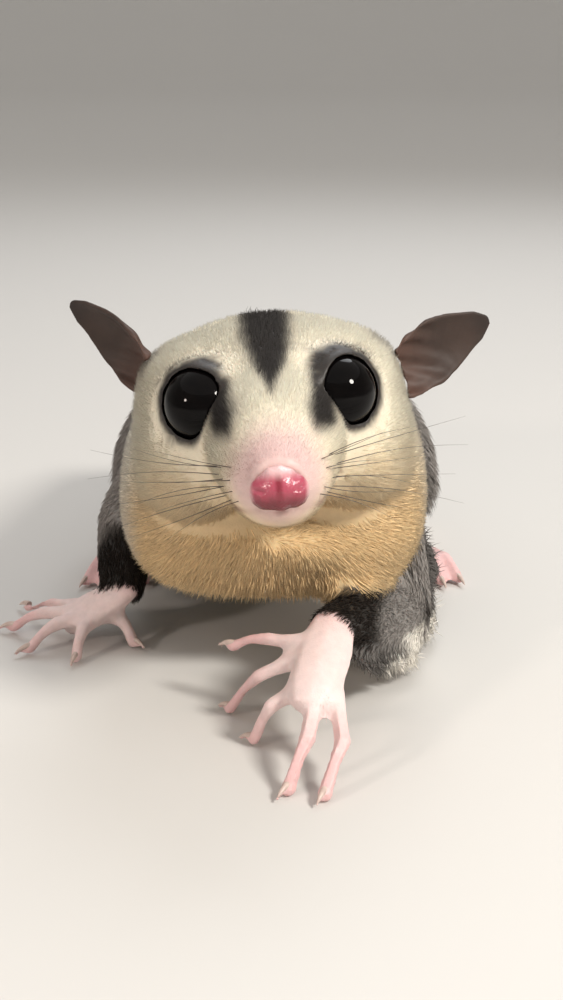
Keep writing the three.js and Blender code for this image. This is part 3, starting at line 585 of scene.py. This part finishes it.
def paint_limbs(colour, body, wander):
    """Sooty forearms, thighs grey above and cream below, white-edged membranes and bare pink fingers."""
    x, y, z = body.T
    arms = part(*pair("forearm")) * 1.0
    elbow = np.where(x > 0, fade(x + 0.6 * wander, *LEFT_ELBOW_EDGE), fade(y, *RIGHT_ELBOW_EDGE))
    colour = paint(colour, SOOT, arms)
    colour = paint(colour, GREY, arms * elbow)
    colour = paint(colour, WHITE, arms * (1 - fade(z + 0.6 * wander, *FRINGE_EDGE)))
    shoulders = part(*pair("upper_arm")) * 1.0
    colour = paint(colour, GREY * 1.1, shoulders)
    colour = paint(colour, SOOT, shoulders * fade(wander + 0.35 * (10 - z), 0.4, 1.2) * (1 - fade(z, 10, 15)))
    thighs = part(*pair("thigh", "shin")) * 1.0
    colour = paint(colour, GREY, thighs * fade(z + wander, *THIGH_EDGE))
    colour = paint(colour, CREAM, thighs * (1 - fade(z + wander, *SHIN_EDGE)))
    folds = part(*pair("membrane")) * 1.0
    colour = paint(colour, GREY * 0.55, folds)
    colour = paint(colour, WHITE, folds * (1 - fade(z + 0.5 * wander, *HEM_EDGE)))
    from_palm = np.minimum(*(np.linalg.norm(body - np.array(palm), axis=1) for palm in PALMS.values()))
    hind = part(*pair("foot"))
    finger = np.where(hind, 1 - fade(y, *TOE_EDGE), fade(from_palm + 0.5 * wander, *FINGER_EDGE))
    colour = paint(colour, HAND_SKIN, hands_and_feet * 1.0)
    return paint(colour, FINGER_SKIN, 0.8 * finger * hands_and_feet)


def paint_tail(colour, y, wander):
    colour = paint(colour, GREY * 1.15, on_tail * 1.0)
    return paint(colour, SOOT, on_tail * fade(y + 3 * wander, *BLACK_TAIL_EDGE))


# Each piece carries its colour as an attribute: its markings, and on the hide and coat the painted shade as
# well.
def give_colour(piece, colour):
    field = piece.data.attributes.new("marking", "FLOAT_COLOR", "POINT")
    field.data.foreach_set("color", np.column_stack([colour, np.ones(len(colour))]).ravel())


head = on_head(spots)
body = on_animal(spots)
wander = ripple(body, 7, 3) + 0.5 * ripple(body, 2.5, 4)
skin_colour = paint_trunk(body, head, wander)
skin_colour = paint_face(skin_colour, body[:, 2], head, wander)
skin_colour = paint_limbs(skin_colour, body, wander)
skin_colour = paint_tail(skin_colour, body[:, 1], wander)
skin_colour = spread(skin, np.clip(skin_colour, 0, 1), 1)

# Where hair covers it the hide is painted darker, as painted shade between the hairs.
SHADE_UNDER_HAIR = 0.16
haired = 1 - hands_and_feet[:, None] * 1.0
give_colour(skin, skin_colour * (1 - SHADE_UNDER_HAIR * haired))


# Hide finish
# Fine pores and creases show on the bare hands, feet, lips and lids, over a faint mottling of the skin.
# Elsewhere the hide is the ground that shows between the tufts of the coat.
def add_node(tree, kind, inputs, **settings):
    """Adds a node, with values or other nodes' outputs on its inputs."""
    node = tree.nodes.new(kind)
    for setting, value in settings.items():
        setattr(node, setting, value)
    for socket, value in inputs.items():
        if isinstance(value, bpy.types.NodeSocket):
            tree.links.new(value, node.inputs[socket])
        else:
            node.inputs[socket].default_value = value
    return node


def new_group(name, inputs, outputs):
    """A new shader node group, with its own named inputs and outputs ready to be joined."""
    group = bpy.data.node_groups.new(name, "ShaderNodeTree")
    for socket, kind in inputs.items():
        group.interface.new_socket(socket, in_out="INPUT", socket_type=kind)
    for socket, kind in outputs.items():
        group.interface.new_socket(socket, in_out="OUTPUT", socket_type=kind)
    return group, group.nodes.new("NodeGroupInput").outputs, group.nodes.new("NodeGroupOutput").inputs


def join_shader(material, sources):
    shader = material.node_tree.nodes["Principled BSDF"]
    for socket, source in sources.items():
        material.node_tree.links.new(source, shader.inputs[socket])


def place_on(material):
    return add_node(material.node_tree, "ShaderNodeTexCoord", {}).outputs["Object"]


def markings_and_shade_on(material):
    return add_node(material.node_tree, "ShaderNodeAttribute", {}, attribute_name="marking").outputs["Color"]


# Mottling lightens and darkens a colour in soft clouds.
mottling, given, made = new_group(
    "mottling",
    {
        "Colour": "NodeSocketColor",
        "Place": "NodeSocketVector",
        "Scale": "NodeSocketFloat",
        "Detail": "NodeSocketFloat",
        "Darkest": "NodeSocketFloat",
        "Lightest": "NodeSocketFloat",
    },
    {"Mottled": "NodeSocketColor", "Clouds": "NodeSocketFloat"},
)
clouds = add_node(
    mottling,
    "ShaderNodeTexNoise",
    {"Vector": given["Place"], "Scale": given["Scale"], "Detail": given["Detail"]},
)
cloud_range = add_node(
    mottling,
    "ShaderNodeMapRange",
    {"Value": clouds.outputs["Fac"], "To Min": given["Darkest"], "To Max": given["Lightest"]},
)
clouded = add_node(
    mottling,
    "ShaderNodeMix",
    {"Factor": 1, "A": given["Colour"], "B": cloud_range.outputs["Result"]},
    data_type="RGBA",
    blend_type="MULTIPLY",
)
mottling.links.new(clouded.outputs["Result"], made["Mottled"])
mottling.links.new(clouds.outputs["Fac"], made["Clouds"])


def mottled(material, scale, detail, darkest, lightest):
    """The colour stored on a piece's points, painted shade and all, with mottling over it."""
    return add_node(
        material.node_tree,
        "ShaderNodeGroup",
        {
            "Colour": markings_and_shade_on(material),
            "Place": place_on(material),
            "Scale": scale,
            "Detail": detail,
            "Darkest": darkest,
            "Lightest": lightest,
        },
        node_tree=mottling,
    )


hide_paint = new_paint(
    "hide_paint",
    {
        "Roughness": 0.5,
        "Subsurface Weight": 0.12,
        "Subsurface Radius": (1.0, 0.35, 0.25),
        "Subsurface Scale": 1.2 * MM,
    },
)
hide_mottling = mottled(hide_paint, scale=900, detail=5, darkest=0.86, lightest=1.12)
pores = add_node(
    hide_paint.node_tree,
    "ShaderNodeTexVoronoi",
    {"Vector": place_on(hide_paint), "Scale": 2600},
    feature="DISTANCE_TO_EDGE",
)
hide_bump = add_node(
    hide_paint.node_tree,
    "ShaderNodeBump",
    {"Strength": 0.35, "Distance": 0.1 * MM, "Height": pores.outputs["Distance"]},
)
join_shader(
    hide_paint,
    {"Base Color": hide_mottling.outputs["Mottled"], "Normal": hide_bump.outputs["Normal"]},
)
skin.data.materials.clear()
skin.data.materials.append(hide_paint)
smooth_faces(skin)

pick(skin)
bpy.ops.object.mode_set(mode="EDIT")
bpy.ops.mesh.select_all(action="SELECT")
bpy.ops.uv.smart_project(angle_limit=math.radians(75), island_margin=0.0008, margin_method="FRACTION")
bpy.ops.object.mode_set(mode="OBJECT")
skin.data.uv_layers[0].name = "OFBake"
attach(skin, "root")
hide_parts(*FLESH)


# Eyes: large, dark, wet balls
# Each is a near-black glossy ball with a bulging cornea, which fills the lids and mirrors the lamps.
# It looks forwards, well out to its own side and a little up, as a night animal's eyes do.
EYE_RADIUS = 4.8 * MM
CORNEA_BULGE = 0.22 * MM
CORNEA_EDGE = 0.55
EYE_TURN = math.radians(38)
EYE_RISE = 0.14

# Grain runs between a dark and a light colour in a fine random pattern.
graining, given, made = new_group(
    "graining",
    {
        "Place": "NodeSocketVector",
        "Scale": "NodeSocketFloat",
        "Dark": "NodeSocketColor",
        "Light": "NodeSocketColor",
    },
    {"Grained": "NodeSocketColor"},
)
grain = add_node(graining, "ShaderNodeTexNoise", {"Vector": given["Place"], "Scale": given["Scale"]})
between = add_node(
    graining,
    "ShaderNodeMix",
    {"Factor": grain.outputs["Fac"], "A": given["Dark"], "B": given["Light"]},
    data_type="RGBA",
)
graining.links.new(between.outputs["Result"], made["Grained"])


def grained_paint(name, looks, scale, dark, light):
    """A material coloured by grain alone."""
    material = new_paint(name, looks)
    colours = add_node(
        material.node_tree,
        "ShaderNodeGroup",
        {"Place": place_on(material), "Scale": scale, "Dark": dark, "Light": light},
        node_tree=graining,
    )
    join_shader(material, {"Base Color": colours.outputs["Grained"]})
    return material


eye_paint = grained_paint(
    "eye_paint",
    {"Roughness": 0.04, "Specular IOR Level": 0.12},
    scale=700,
    dark=(0.0008, 0.0008, 0.001, 1),
    light=(0.004, 0.003, 0.0028, 1),
)
for name, side, centre in (("left", 1, left_eye_centre), ("right", -1, right_eye_centre)):
    bpy.ops.object.select_all(action="DESELECT")
    bpy.ops.mesh.primitive_uv_sphere_add(segments=64, ring_count=40, radius=EYE_RADIUS, location=centre)
    eyeball = bpy.context.object
    eyeball.name = "eyeball_" + name
    bpy.ops.object.transform_apply(location=True, rotation=True, scale=True)
    looks_to = Vector((side * math.sin(EYE_TURN), -math.cos(EYE_TURN), EYE_RISE)).normalized()
    looks_to = Matrix(head_turn.tolist()) @ looks_to
    for v in eyeball.data.vertices:
        out = (v.co - centre).normalized()
        v.co += out * CORNEA_BULGE * max(0, (out.dot(looks_to) - CORNEA_EDGE) / (1 - CORNEA_EDGE)) ** 1.2
    bpy.ops.object.shade_smooth()
    eyeball.data.materials.append(eye_paint)
    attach(eyeball, "root")
    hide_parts("eye_" + name)


# Nose pad
# The bare crimson-pink pad is moist and finely cobbled, with a groove between the two nostril wings.
# It is one smooth soft piece at the tip of the muzzle, paler where it meets the hair.
PAD_SWELLING = 0.25 * MM
PAD_GRAIN = 0.12 * MM
NOSE_PINK = np.array([0.44, 0.075, 0.12])
PAD_BOTTOM_RED = np.array([0.17, 0.013, 0.024])
GROOVE_RED = np.array([0.20, 0.015, 0.03])


def soft_copy(solid, name, swelling, grain, rounds):
    """A piece in a solid's place: merged, swollen a little, made again in fine grain and smoothed."""
    piece = copy_of(solid)
    piece.name = name
    piece.data.materials.clear()
    shape = merged_shape(piece)
    for v in shape.verts:
        v.co += v.normal * swelling
    shape.to_mesh(piece.data)
    shape.free()
    pick(piece)
    piece.data.remesh_voxel_size = grain
    bpy.ops.object.voxel_remesh()
    move_points(piece, spread(piece, points_of(piece), rounds))
    bpy.ops.object.shade_smooth()
    return piece


nose_paint = new_paint(
    "nose_paint",
    {
        "Roughness": 0.3,
        "Coat Weight": 0.35,
        "Coat Roughness": 0.15,
        "Subsurface Weight": 0.1,
        "Subsurface Radius": (1.0, 0.3, 0.25),
        "Subsurface Scale": 1 * MM,
    },
)
cobbles = add_node(
    nose_paint.node_tree,
    "ShaderNodeTexVoronoi",
    {"Vector": place_on(nose_paint), "Scale": 3600},
)
nose_bump = add_node(
    nose_paint.node_tree,
    "ShaderNodeBump",
    {"Strength": 0.5, "Distance": 0.08 * MM, "Height": cobbles.outputs["Distance"]},
    invert=True,
)
join_shader(nose_paint, {"Base Color": markings_and_shade_on(nose_paint), "Normal": nose_bump.outputs["Normal"]})

pad = soft_copy("nose", "nose_pad", PAD_SWELLING, PAD_GRAIN, rounds=14)
pad.data.materials.append(nose_paint)
pad_spots = on_head(points_of(pad))
aside = np.abs(pad_spots[:, 0])
pad_colour = np.repeat(NOSE_PINK[None], len(pad_spots), axis=0)
# The pad is painted darker towards its bottom.
pad_colour = paint(pad_colour, PAD_BOTTOM_RED, 1 - fade(pad_spots[:, 2], -9.6, -7.4))
pad_colour = paint(pad_colour, GROOVE_RED, (1 - fade(aside, 0.1, 0.6)) * 0.8)
pad_colour = paint(pad_colour, LILAC_SKIN, 0.85 * fade(aside, 2.6, 3.4))
pad_colour = paint(pad_colour, LILAC_SKIN, 0.9 * fade(pad_spots[:, 2], -7.0, -5.7))
give_colour(pad, pad_colour)
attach(pad, "root")
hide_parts("nose")


# Ears: thin bare paddles
# The thin skin is dark brown, browner and folded where it rolls into the ear's mouth, with a darker rim.
# The folds run across the ear and die away towards the middle of the paddle.
EAR_GRAIN = 0.16 * MM
EAR_FOLD_DEPTH = 0.16 * MM
FOLDS_UP = 2.6
FOLDS_ASIDE = 0.6
EAR_BROWN = np.array([0.046, 0.029, 0.023])
EAR_MOUTH_BROWN = np.array([0.095, 0.052, 0.040])
EAR_RIM_BROWN = np.array([0.030, 0.021, 0.018])
EAR_ROOTS = {"left": Vector((14.6, 9.2, 40.4)), "right": Vector((-14.2, 9.2, 40.2))}
EAR_TIPS = {"left": Vector((27.2, 14, 46.4)), "right": Vector((-25.5, 14, 48.4))}

ear_paint = new_paint(
    "ear_paint",
    {
        "Roughness": 0.55,
        "Specular IOR Level": 0.3,
        "Subsurface Weight": 0.08,
        "Subsurface Radius": (1.0, 0.35, 0.2),
        "Subsurface Scale": 1 * MM,
    },
)
ear_mottling = mottled(ear_paint, scale=450, detail=6, darkest=0.7, lightest=1.3)
ear_bump = add_node(
    ear_paint.node_tree,
    "ShaderNodeBump",
    {"Strength": 0.4, "Distance": 0.2 * MM, "Height": ear_mottling.outputs["Clouds"]},
)
join_shader(
    ear_paint,
    {"Base Color": ear_mottling.outputs["Mottled"], "Normal": ear_bump.outputs["Normal"]},
)

for name in ("left", "right"):
    ear = soft_copy("ear_" + name, "ear_leaf_" + name, 0, EAR_GRAIN, rounds=18)
    ear.data.materials.append(ear_paint)
    ear_spots = on_animal(points_of(ear))
    ear_run = EAR_TIPS[name] - EAR_ROOTS[name]
    along = (ear_spots - np.array(EAR_ROOTS[name])) @ np.array(ear_run.normalized()) / ear_run.length
    fold = np.sin(ear_spots[:, 2] * FOLDS_UP + ear_spots[:, 0] * FOLDS_ASIDE) * (1 - fade(along, 0.25, 0.62))
    move_points(ear, points_of(ear) + normals_of(ear) * EAR_FOLD_DEPTH * fold[:, None])
    ear_colour = np.repeat(EAR_BROWN[None], len(ear_spots), axis=0)
    ear_colour = paint(ear_colour, EAR_MOUTH_BROWN, 1 - fade(along, 0.0, 0.55))
    ear_colour = paint(ear_colour, EAR_RIM_BROWN, fade(along, 0.72, 1.0))
    give_colour(ear, ear_colour)
    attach(ear, "root")
    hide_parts("ear_" + name)


# Coat: soft tufts that lie back from the nose over the head and body
# Each tuft is a fine tapered lock of hairs rooted in the hide, so the coat breaks the outline as real
# fur does. It is shortest round the nose and eyes, and longest and loosest on the tail.
coat_paint = new_paint(
    "coat_paint",
    {"Roughness": 0.8, "Specular IOR Level": 0.07, "Sheen Weight": 0.04, "Sheen Roughness": 0.5},
)
coat_mottling = mottled(coat_paint, scale=260, detail=3, darkest=0.9, lightest=1.1)
join_shader(coat_paint, {"Base Color": coat_mottling.outputs["Mottled"]})

corners = np.empty(len(skin.data.polygons) * 3, dtype=np.int64)
skin.data.polygons.foreach_get("vertices", corners)
corners = corners.reshape(-1, 3)
unwrap = np.empty(len(skin.data.loops) * 2)
skin.data.uv_layers["OFBake"].data.foreach_get("uv", unwrap)
unwrap = unwrap.reshape(-1, 3, 2)
hide_normals = normals_of(skin)

# The lie of the coat, as a direction at each point of the hide.
CROWN_OF_LIE = (0, -17, 31.5)
SWEPT_BACK = (0, 1, -0.28)
LIMB_WAYS = {
    "upper_arm_left": Vector((3.8, -16, -19)),
    "forearm_left": Vector((-9.6, -17.8, 5)),
    "upper_arm_right": Vector((-9.4, 9, -13)),
    "forearm_right": Vector((0.6, -13, -6)),
    "thigh_left": Vector((6, -8, -9)),
    "thigh_right": Vector((-6, -8, -9)),
    "shin_left": Vector((0, 22, -10)),
    "shin_right": Vector((0, 22, -10)),
    "membrane_left": Vector((2, 3, -8)),
    "membrane_right": Vector((-2, 3, -8)),
    "hand_left": Vector((0, -9, -6)),
    "hand_right": Vector((-7, -2, -4)),
    "foot_left": Vector((0, -10, 0)),
    "foot_right": Vector((0, -10, 0)),
    "tail_base": Vector((0, 10, -1)),
    "tail": Vector((-0.4, 10, -0.4)),
}


def unit(ways):
    return ways / np.linalg.norm(ways, axis=1)[:, None]


lie = unit(body - np.array(CROWN_OF_LIE))
lie = np.where(part("chest", "rump")[:, None], lie * 0.5 + np.array(SWEPT_BACK), lie)
for name, way in LIMB_WAYS.items():
    lie[part(name)] = np.array(way.normalized())
lie = spread(skin, lie, 12)

TUFT_SIDES = 3
TUFT_FLATNESS = 0.55
ROOT_DEPTH = 0.22 * MM
FLOOR_CLEARANCE = 0.35
TIP_CLEARANCE = 0.5
BAKE_PATCH_RADIUS = 0.0015
LENGTH_RANGE = (0.75, 1.2)
RISE_RANGE = (0.7, 1.3)
WIDTH_RANGE = (0.75, 1.25)
STRAYING = 0.13
TONE_CHANGE = 0.09
LONG_WAVE = 5
SHORT_WAVE = 2.2
DROOP = 0.55
TAPER = 0.25
TIP_TAPER = 0.55
# Painted shade and light along each tuft: its colour is darkened at the root, deep in the coat, and lightened
# towards the tip.
ROOT_SHADE = 0.84
TIP_PAINTED_LIGHT = 0.24
ONE_RING = (0.0,)
TWO_RINGS = (0.0, 0.5)
THREE_RINGS = (0.0, 0.4, 0.75)


def plant(where, tufts, draw):
    """Chooses a root for each tuft on these faces of the hide, closer together where the hair is short."""
    a, b, c = (spots[corners[where, k]] for k in range(3))
    area = np.linalg.norm(np.cross(b - a, c - a), axis=1) / 2
    crowd = area / np.maximum(hair_length[corners[where]].mean(axis=1), 1.2) ** 0.7
    chosen = where[draw.choice(len(where), tufts, p=crowd / crowd.sum())]
    u = draw.random(tufts)
    v = draw.random(tufts)
    over = u + v > 1
    u[over], v[over] = 1 - u[over], 1 - v[over]
    return chosen, np.column_stack([1 - u - v, u, v])[:, :, None]


def lay_down(way, normal):
    """Turns a direction nearly flat along the hide, where it left the hide or ran into it."""
    leaving = (way * normal).sum(axis=1)
    way = way - normal * np.where(leaving > 0, 0.45 * leaving, leaving)[:, None]
    way /= np.linalg.norm(way, axis=1)[:, None] + 1e-9
    return way


def tuft_faces(rings):
    """The triangles of one tuft, from its closed root to its tip."""
    last = (rings - 1) * TUFT_SIDES
    faces = [[2, 1, 0]]
    for ring in range(0, last, TUFT_SIDES):
        for k in range(TUFT_SIDES):
            near, far = ring + k, ring + (k + 1) % TUFT_SIDES
            faces.append([near, far, far + TUFT_SIDES])
            faces.append([near, far + TUFT_SIDES, near + TUFT_SIDES])
    for k in range(TUFT_SIDES):
        faces.append([last + k, last + (k + 1) % TUFT_SIDES, last + TUFT_SIDES])
    return np.array(faces)


def tuft_mesh(name, points, patch, faces):
    """One mesh of many tufts with the same faces each, and the map that their colours are baked on."""
    tufts, per_tuft = points.shape[:2]
    all_faces = (faces[None] + per_tuft * np.arange(tufts)[:, None, None]).reshape(-1, 3)
    mesh = bpy.data.meshes.new(name)
    mesh.vertices.add(tufts * per_tuft)
    mesh.vertices.foreach_set("co", points.ravel())
    mesh.loops.add(all_faces.size)
    mesh.loops.foreach_set("vertex_index", all_faces.ravel())
    mesh.polygons.add(len(all_faces))
    mesh.polygons.foreach_set("loop_start", np.arange(0, all_faces.size, 3))
    mesh.polygons.foreach_set("use_smooth", np.ones(len(all_faces), dtype=bool))
    mesh.update(calc_edges=True)
    bake_map = mesh.uv_layers.new(name="OFBake")
    bake_map.data.foreach_set("uv", patch.reshape(-1, 2)[all_faces.ravel()].ravel())
    return mesh


def comb(name, where, tufts, seed, width, lift, rings, curl=0.16):
    """Plants tufts over the chosen faces of the hide and combs them along the lie of the coat."""
    draw = np.random.default_rng(seed)
    chosen, mix = plant(where, tufts, draw)
    tri = corners[chosen]
    root = (spots[tri] * mix).sum(axis=1)
    normal = unit((hide_normals[tri] * mix).sum(axis=1))
    way = lay_down((lie[tri] * mix).sum(axis=1), normal)
    colour = (skin_colour[tri] * mix).sum(axis=1)
    flat_spot = (unwrap[chosen] * mix).sum(axis=1)

    length = (hair_length[tri] * mix[:, :, 0]).sum(axis=1) * MM * draw.uniform(*LENGTH_RANGE, tufts)
    stray = ripple(root / MM, LONG_WAVE, seed + 1) + 0.8 * ripple(root / MM, SHORT_WAVE, seed + 2)
    stray = curl * stray + draw.normal(0, STRAYING, tufts)
    way = unit(way + np.cross(normal, way) * stray[:, None])
    side = np.cross(normal, way)
    rise = lift * draw.uniform(*RISE_RANGE, tufts)
    thick = width * MM * draw.uniform(*WIDTH_RANGE, tufts)
    tone = draw.normal(1, TONE_CHANGE, tufts)[:, None]

    per_tuft = len(rings) * TUFT_SIDES + 1
    points = np.empty((tufts, per_tuft, 3))
    shade = np.empty((tufts, per_tuft, 3))
    patch = np.empty((tufts, per_tuft, 2))
    for step, share in enumerate((*rings, 1.0)):
        height = rise * (share - DROOP * share * share)
        middle = root + way * (length * share)[:, None] + normal * (length * height - ROOT_DEPTH)[:, None]
        middle[:, 2] = np.maximum(middle[:, 2], (FLOOR_CLEARANCE + TIP_CLEARANCE * share) * MM)
        reach = thick * (1 - TAPER * share - TIP_TAPER * share * share)
        first = step * TUFT_SIDES
        # Painted shade at the root, rising to painted light at the tip.
        shade[:, first:first + TUFT_SIDES] = (colour * tone * (ROOT_SHADE + TIP_PAINTED_LIGHT * share))[:, None]
        if share == 1.0:
            points[:, first] = middle
            patch[:, first] = flat_spot
            continue
        for k in range(TUFT_SIDES):
            turn = math.pi / 2 + 2 * math.pi * k / TUFT_SIDES
            over, up = math.cos(turn), math.sin(turn)
            spoke = side * over + normal * (TUFT_FLATNESS * up)
            points[:, first + k] = middle + spoke * reach[:, None]
            patch[:, first + k] = flat_spot + BAKE_PATCH_RADIUS * np.array([over, up])

    mesh = tuft_mesh(name, points, patch, tuft_faces(len(rings)))
    coat = bpy.data.objects.new(name, mesh)
    bpy.context.scene.collection.objects.link(coat)
    give_colour(coat, np.clip(shade.reshape(-1, 3), 0, 1))
    mesh.materials.append(coat_paint)
    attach(coat, "root")


face_owner = owner[corners[:, 0]]
face_head = on_head(spots[corners].mean(axis=1))
bare_rim = (eye_gap[corners].mean(axis=1) <= 5.75) | (nose_gap[corners].mean(axis=1) <= 3.0)
bare_rim |= from_mouth(face_head) <= 0.4
upward = hide_normals[corners].mean(axis=1)[:, 2] > 0.2


def faces_of(*names, where=True):
    """The faces of the hide on the named parts, where a condition holds."""
    return np.nonzero(np.isin(face_owner, names) & where)[0]


front_face = faces_of("head", where=~bare_rim & (face_head[:, 1] < 7))
back_head = faces_of("head", where=~bare_rim & (face_head[:, 1] >= 7))
neck = faces_of("neck")
chest = faces_of("chest")
rump = faces_of("rump")
limbs = faces_of(*pair("thigh", "shin", "upper_arm"))
arms = faces_of(*pair("forearm", "membrane"))
hands = faces_of(*pair("hand", "foot"), where=upward)
brush = faces_of("tail", "tail_base")
comb("coat_face_1", front_face, 40000, seed=11, width=0.06, lift=0.42, rings=ONE_RING, curl=0.1)
comb("coat_face_2", front_face, 40000, seed=31, width=0.06, lift=0.5, rings=ONE_RING, curl=0.1)
comb("coat_crown", back_head, 14500, seed=12, width=0.1, lift=0.42, rings=TWO_RINGS)
comb("coat_throat_1", neck, 15000, seed=13, width=0.1, lift=0.42, rings=TWO_RINGS)
comb("coat_throat_2", neck, 24000, seed=33, width=0.1, lift=0.5, rings=ONE_RING)
comb("coat_chest", chest, 15000, seed=14, width=0.15, lift=0.42, rings=TWO_RINGS)
comb("coat_rump", rump, 16000, seed=15, width=0.165, lift=0.42, rings=TWO_RINGS)
comb("coat_limbs", limbs, 15000, seed=16, width=0.15, lift=0.42, rings=TWO_RINGS)
comb("coat_arms", arms, 12500, seed=17, width=0.12, lift=0.45, rings=TWO_RINGS)
comb("coat_hands", hands, 6000, seed=19, width=0.04, lift=0.5, rings=ONE_RING)
comb("coat_tail", brush, 11000, seed=18, width=0.17, lift=0.7, rings=THREE_RINGS)
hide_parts("tail")


# Claws
# Short hooked claws of pale horn tip every digit but the thumb-like big toes of the hind feet.
# Each is sunk into its fingertip, runs on forwards and curves down to a fine point.
CLAW_LENGTH = 2.5
CLAW_SINK = 0.35
CLAW_RADIUS = 0.46
CLAW_TIP_RADIUS = 0.04
CLAW_HEIGHT = 0.45
CLAW_ARCH = 0.45
CLAW_DROP = 1.2
CLAW_STEPS = 6
HIND_FEET = [
    (1, Vector((19.5, 68, 0)), Vector((21.5, 49, 0))),
    (-1, Vector((-19.5, 68, 0)), Vector((-22, 48, 0))),
]
TOE_SPREAD_AND_REACH = [(3.6, 7.6), (1.9, 9.2), (0.1, 9.6), (-1.8, 8.4)]
TIP_SPREAD = 1.7
CLAW_SPREAD = 0.7
TOE_HEIGHT = 0.9
claw_line = new_line("claw_line", thickness=1 * MM, roundness=3)
claw_line.use_fill_caps = True


def claw(tip, way):
    way = Vector((way.x, way.y, 0)).normalized()
    places = []
    radii = []
    for step in range(CLAW_STEPS + 1):
        share = step / CLAW_STEPS
        hook = Vector((0, 0, CLAW_HEIGHT + CLAW_ARCH * share - CLAW_DROP * share * share))
        places.append(tip + way * (CLAW_LENGTH * share - CLAW_SINK) + hook)
        radii.append(CLAW_RADIUS * (1 - share) ** 0.7 + CLAW_TIP_RADIUS)
    add_run(claw_line, "POLY", places, radii)


for side in PALMS:
    for knuckle, fingertip in zip(KNUCKLES[side], FINGERTIPS[side]):
        tip = Vector(fingertip)
        claw(tip, tip - Vector(knuckle))
for side, ankle, ball in HIND_FEET:
    forward = (ball - ankle).normalized()
    outward = Vector((side * abs(forward.y), -abs(forward.x), 0))
    for shift, reach in TOE_SPREAD_AND_REACH:
        tip = ball + outward * (TIP_SPREAD * shift) + forward * reach + Vector((0, 0, TOE_HEIGHT))
        claw(tip, forward * reach + outward * CLAW_SPREAD * shift)
claws = mesh_of(claw_line, "claws")
bpy.ops.object.shade_smooth()
claw_paint = grained_paint(
    "claw_paint",
    {"Roughness": 0.35},
    scale=1500,
    dark=(0.42, 0.30, 0.26, 1),
    light=(0.72, 0.60, 0.54, 1),
)
claws.data.materials.append(claw_paint)
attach(claws, "root")


# Whiskers
# Long stiff dark hairs spring from the pad on each side of the nose, in four rows of three.
# Each tapers to a fine tip and bows a little, and those further back are longer.
WHISKER_ROWS = 4
WHISKERS_A_ROW = 3
WHISKER_STEPS = 8
WHISKER_RADIUS = 0.06 * MM
WHISKER_LENGTH = 9
LENGTH_GAIN = 3.4
whisker_line = new_line("whisker_line", thickness=WHISKER_RADIUS, roundness=1)
draw = np.random.default_rng(21)


def whisker(root, tip, sag):
    """A hair between two places in the head's own axes, bowed down by sag at its middle."""
    places = []
    radii = []
    for step in range(WHISKER_STEPS + 1):
        share = step / WHISKER_STEPS
        spot = root.lerp(tip, share) + Vector((0, 0, -sag * math.sin(math.pi * share)))
        places.append(Vector((head_turn @ np.array(spot)).tolist()) + Vector(HEAD_CENTRE))
        radii.append(1 - 0.85 * share)
    add_run(whisker_line, "POLY", places, radii)


for side in (-1, 1):
    for row in range(WHISKER_ROWS):
        for step in range(WHISKERS_A_ROW):
            root = Vector((side * (3.4 + 0.9 * step), -13.2 + 1.8 * step, -6.2 - 1.05 * row))
            outwards = WHISKER_LENGTH + LENGTH_GAIN * step + draw.uniform(-1, 1.5)
            tip = root + Vector((side * outwards, 2.2 + 1.6 * step + draw.uniform(-1, 1), 2.6 - 2.3 * row))
            whisker(root, tip, draw.uniform(-0.9, 0.6))
whiskers = mesh_of(whisker_line, "whiskers")
whisker_paint = grained_paint(
    "whisker_paint",
    {"Roughness": 0.4},
    scale=300,
    dark=(0.02, 0.015, 0.012, 1),
    light=(0.09, 0.06, 0.045, 1),
)
whiskers.data.materials.append(whisker_paint)
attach(whiskers, "root")
